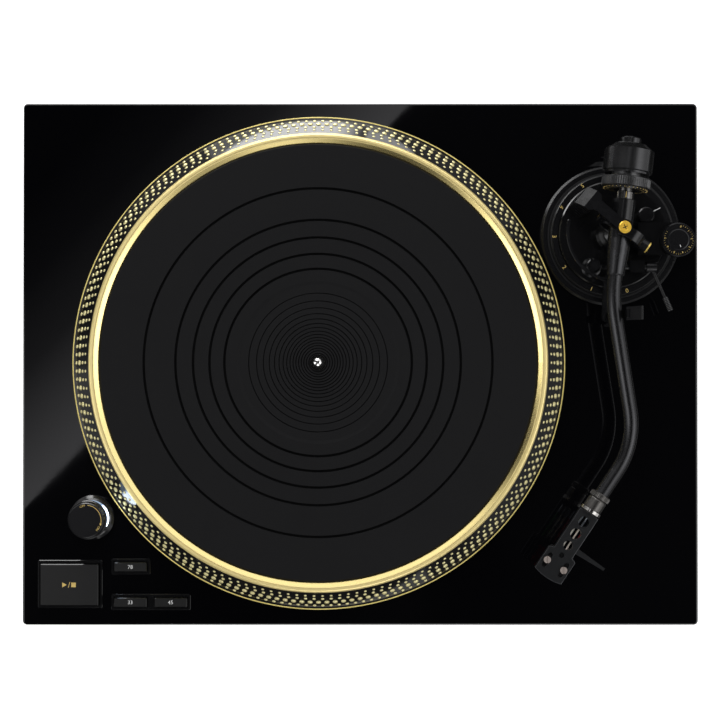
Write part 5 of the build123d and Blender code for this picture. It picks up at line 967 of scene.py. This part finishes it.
def add_jack_inserts():
    jacks = middle_of("phono_jacks")
    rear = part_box("phono_jacks")[1].y / MM + INSERT_PROUD
    for name, side, paint in (("left", -0.5, white_plastic), ("right", 0.5, red_plastic)):
        mouth = Vector((jacks.x + side * JACK_SPACING, rear, jacks.z))
        insert = Shape().turned(mouth, Vector((0.0, 1.0, 0.0)), INSERT, steps=40)
        insert.piece(f"jack_insert_{name}", "root", paint, "terminal_black")


add_strobe_dots()
add_flange_line()
add_key_marks()
add_switch_marks()
add_height_marks()
add_base_serration()
add_skate_marks()
add_force_marks()
add_cap_and_lock_marks()
add_grips()
add_headshell_edge()
add_jack_inserts()


# ======================================================================
# floor, world, cards, lamps and camera, in metres
# ======================================================================

def card(name, corners, material, seen_by_camera=False):
    """A flat studio card. Only reflections see it, unless the camera does."""
    mesh = bpy.data.meshes.new(name)
    mesh.from_pydata(corners, [], [[0, 1, 2, 3]])
    mesh.materials.append(material)
    made = bpy.data.objects.new(name, mesh)
    bpy.context.scene.collection.objects.link(made)
    for ray in ("camera", "diffuse", "transmission", "volume_scatter", "shadow"):
        setattr(made, "visible_" + ray, seen_by_camera)


def lying(x0, x1, y0, y1, z):
    """Corners of a card that lies level."""
    return [(x, y, z) for x, y in bar(x0, x1, y0, y1)]


def glow(name, strength, colour=WHITE):
    """A material that only shines. Its strength is a number, or a function that makes the nodes for it."""
    material = bpy.data.materials.new(name)
    shine = Nodes(material)
    amount = strength(shine) if callable(strength) else strength
    light = shine.new("Emission", {"Color": colour, "Strength": amount})
    shine.new("OutputMaterial", {"Surface": light.outputs[0]})
    return material


# ---- floor: pale, and lit up to plain white for the camera and in reflections, with its shadows kept ----
FLOOR_HALF = 6.0
FLOOR_COLOUR = (0.82, 0.82, 0.82)
FLOOR_SHINE = 0.62


def floor_paint():
    material = bpy.data.materials.new("floor_white")
    floor = Nodes(material)
    matte = floor.new("BsdfDiffuse", {"Color": FLOOR_COLOUR}).outputs[0]
    shine = floor.new("Emission", {"Strength": FLOOR_SHINE}).outputs[0]
    both = floor.new("AddShader", {0: matte, 1: shine}).outputs[0]
    rays = floor.source("LightPath")
    mirrored = floor.math("MAXIMUM", rays["Is Glossy Ray"], rays["Is Transmission Ray"])
    seen = floor.math("MAXIMUM", rays["Is Camera Ray"], mirrored)
    surface = floor.new("MixShader", {"Fac": seen, 1: matte, 2: both}).outputs[0]
    floor.new("OutputMaterial", {"Surface": surface})
    return material


# ---- world: white to the camera, plain light on matt surfaces, and for reflections a sky ----
# The sky is bright near the horizon and dark overhead: (height of the direction, strength) stops.
SKY_STOPS = ((0.0, 0.9), (0.30, 0.9), (0.50, 1.2), (0.62, 1.7), (0.80, 1.7), (0.88, 0.4), (0.945, 0.015))
# Dark gaps between its soft lamps: bearing and half-width in degrees, and depth.
SKY_GAPS = ((160.0, 11.0, 0.97), (-60.0, 8.0, 0.75), (-116.0, 14.0, 0.97))
GAP_START = 2.2        # a gap starts and is full at these shares of its half-width
GAP_FULL = 0.6
PLAIN_LIGHT = 0.42


def make_world():
    world = bpy.data.worlds.new("studio")
    bpy.context.scene.world = world
    sky = Nodes(world)
    rays = sky.source("LightPath")
    direction = sky.source("TexCoord")["Generated"]
    strength = sky.ramp(sky.part(direction, "Z"), SKY_STOPS)
    bearing_of = sky.vector("NORMALIZE", sky.vector("MULTIPLY", direction, (1.0, 1.0, 0.0)))
    for bearing, half_width, depth in SKY_GAPS:
        a = radians(bearing)
        facing = sky.vector("DOT_PRODUCT", bearing_of, (cos(a), sin(a), 0.0))
        start, full = (cos(radians(half_width * share)) for share in (GAP_START, GAP_FULL))
        gap = sky.spread(facing, 1.0, 1.0 - depth, start, full, "SMOOTHSTEP")
        strength = sky.math("MULTIPLY", strength, gap)
    lit = sky.new("Mix", {"Factor": rays["Is Glossy Ray"], "A": PLAIN_LIGHT, "B": strength})
    shown = sky.new("Mix", {"Factor": rays["Is Camera Ray"], "A": lit.outputs["Result"], "B": 1.0})
    background = sky.new("Background", {"Strength": shown.outputs["Result"]})
    sky.new("OutputWorld", {"Surface": background.outputs[0]})


# ---- a grey card over the left of the plinth, with one straight edge; it fades away from that edge ----
EDGE_FROM = Vector((-0.572, -0.222, 1.590))
EDGE_TO = Vector((0.085, 0.468, 1.590))
CARD_DEEP = 0.50
CARD_PAST = 0.12       # the card runs on past both ends of its edge
FADE_STOPS = ((0.0, 1.0), (0.07, 0.64), (0.16, 0.17), (0.26, 0.04), (0.36, 0.0))


def add_overhead_card():
    along = (EDGE_TO - EDGE_FROM).normalized()
    away = Vector((-along.y, along.x, 0.0))
    start = EDGE_FROM - along * CARD_PAST
    end = EDGE_TO + along * CARD_PAST

    def fade(shine):
        """Bright along the card's straight edge, fading away from it."""
        from_edge = shine.vector("SUBTRACT", shine.source("TexCoord")["Object"], EDGE_FROM)
        return shine.ramp(shine.vector("DOT_PRODUCT", from_edge, away), FADE_STOPS)

    card("overhead_card", [start, end, end + away * CARD_DEEP, start + away * CARD_DEEP],
         glow("overhead_grey", fade, (0.98, 0.97, 1.0)))


# ---- dark sheets over the floor round the object, and two soft white cards behind the platter's edge ----
DARK_SHEETS = {"dark_front": (-1.3, 1.3, -1.3, 0.19), "dark_rear_left": (-1.3, -0.34, 0.19, 1.0),
               "dark_rear_right": (0.12, 1.3, 0.19, 1.0)}
SHEET_Z = 0.001
SHEET_SHINE = 0.012
REAR_Y = 0.46
REAR_CARD = bar(-0.50, 0.10, 0.10, 0.19)    # x and z
REAR_CARD_SHINE = 9.0
REAR_FLOOR = (-0.29, 0.04, 0.26, REAR_Y)
REAR_FLOOR_Z = 0.002
REAR_FLOOR_SHINE = 3.5
SOFT_EDGE = 0.15       # x * (1 - x) at which a soft card is at its full strength


def soft(strength, axes):
    """For glow: full strength over the card's middle, fading out to its edges along both of its axes."""
    def build(shine):
        place = shine.source("TexCoord")["Generated"]
        value = strength
        for axis in axes:
            share = shine.part(place, axis)
            bow = shine.math("MULTIPLY", share, shine.math("SUBTRACT", 1.0, share))
            value = shine.math("MULTIPLY", value, shine.spread(bow, 0.0, 1.0, 0.0, SOFT_EDGE, "SMOOTHSTEP"))
        return value
    return build


def add_floor_cards():
    dark = glow("dark_sheet", SHEET_SHINE)
    for name, rectangle in DARK_SHEETS.items():
        card(name, lying(*rectangle, SHEET_Z), dark)
    card("rear_card", [(x, REAR_Y, z) for x, z in REAR_CARD],
         glow("rear_white", soft(REAR_CARD_SHINE, "XZ")))
    card("rear_floor", lying(*REAR_FLOOR, REAR_FLOOR_Z),
         glow("rear_floor_white", soft(REAR_FLOOR_SHINE, "XY")))


# ---- lamps: place, width, height and power in watts ----
LAMPS = {
    "top_soft": ((-0.3, 0.4, 2.2), 1.6, 1.6, 18.0),
    "left_strip": ((-1.40, -0.3, 1.5), 0.8, 1.4, 5.5),
    "right_strip": ((1.40, -0.3, 1.5), 0.8, 1.4, 5.5),
    "back_strip": ((-0.2, 1.7, 0.9), 1.4, 0.4, 8.0),
    "front_fill": ((0.2, -1.7, 1.0), 1.2, 0.5, 4.0),
}
LAMP_AIM = Vector((0.0, 0.0, 0.1))
UNMIRRORED = ("top_soft",)


def add_lamps():
    for name, (place, width, height, power) in LAMPS.items():
        data = bpy.data.lights.new(name, "AREA")
        data.shape = "RECTANGLE"
        data.size = width
        data.size_y = height
        data.energy = power
        made = bpy.data.objects.new(name, data)
        bpy.context.scene.collection.objects.link(made)
        made.location = place
        made.rotation_mode = "QUATERNION"
        made.rotation_quaternion = (LAMP_AIM - Vector(place)).to_track_quat("-Z", "Y")
        made.visible_camera = False
        made.visible_glossy = name not in UNMIRRORED


# ---- camera: above the plinth, looking almost straight down ----
CAMERA_PLACE = (-0.0002, -0.0174, 1.090)
CAMERA_TILT = radians(0.5)
FOCAL_LENGTH = 73.66
SHIFT_Y = 0.0231


def add_camera():
    data = bpy.data.cameras.new("camera")
    data.sensor_width = 36.0
    data.lens = FOCAL_LENGTH
    data.shift_y = SHIFT_Y
    camera = bpy.data.objects.new("camera", data)
    bpy.context.scene.collection.objects.link(camera)
    camera.location = CAMERA_PLACE
    camera.rotation_euler = (CAMERA_TILT, 0.0, 0.0)
    bpy.context.scene.camera = camera


card("floor", lying(-FLOOR_HALF, FLOOR_HALF, -FLOOR_HALF, FLOOR_HALF, 0.0), floor_paint(),
     seen_by_camera=True)
make_world()
add_overhead_card()
add_floor_cards()
add_lamps()
add_camera()
bpy.context.scene.view_settings.view_transform = "Standard"
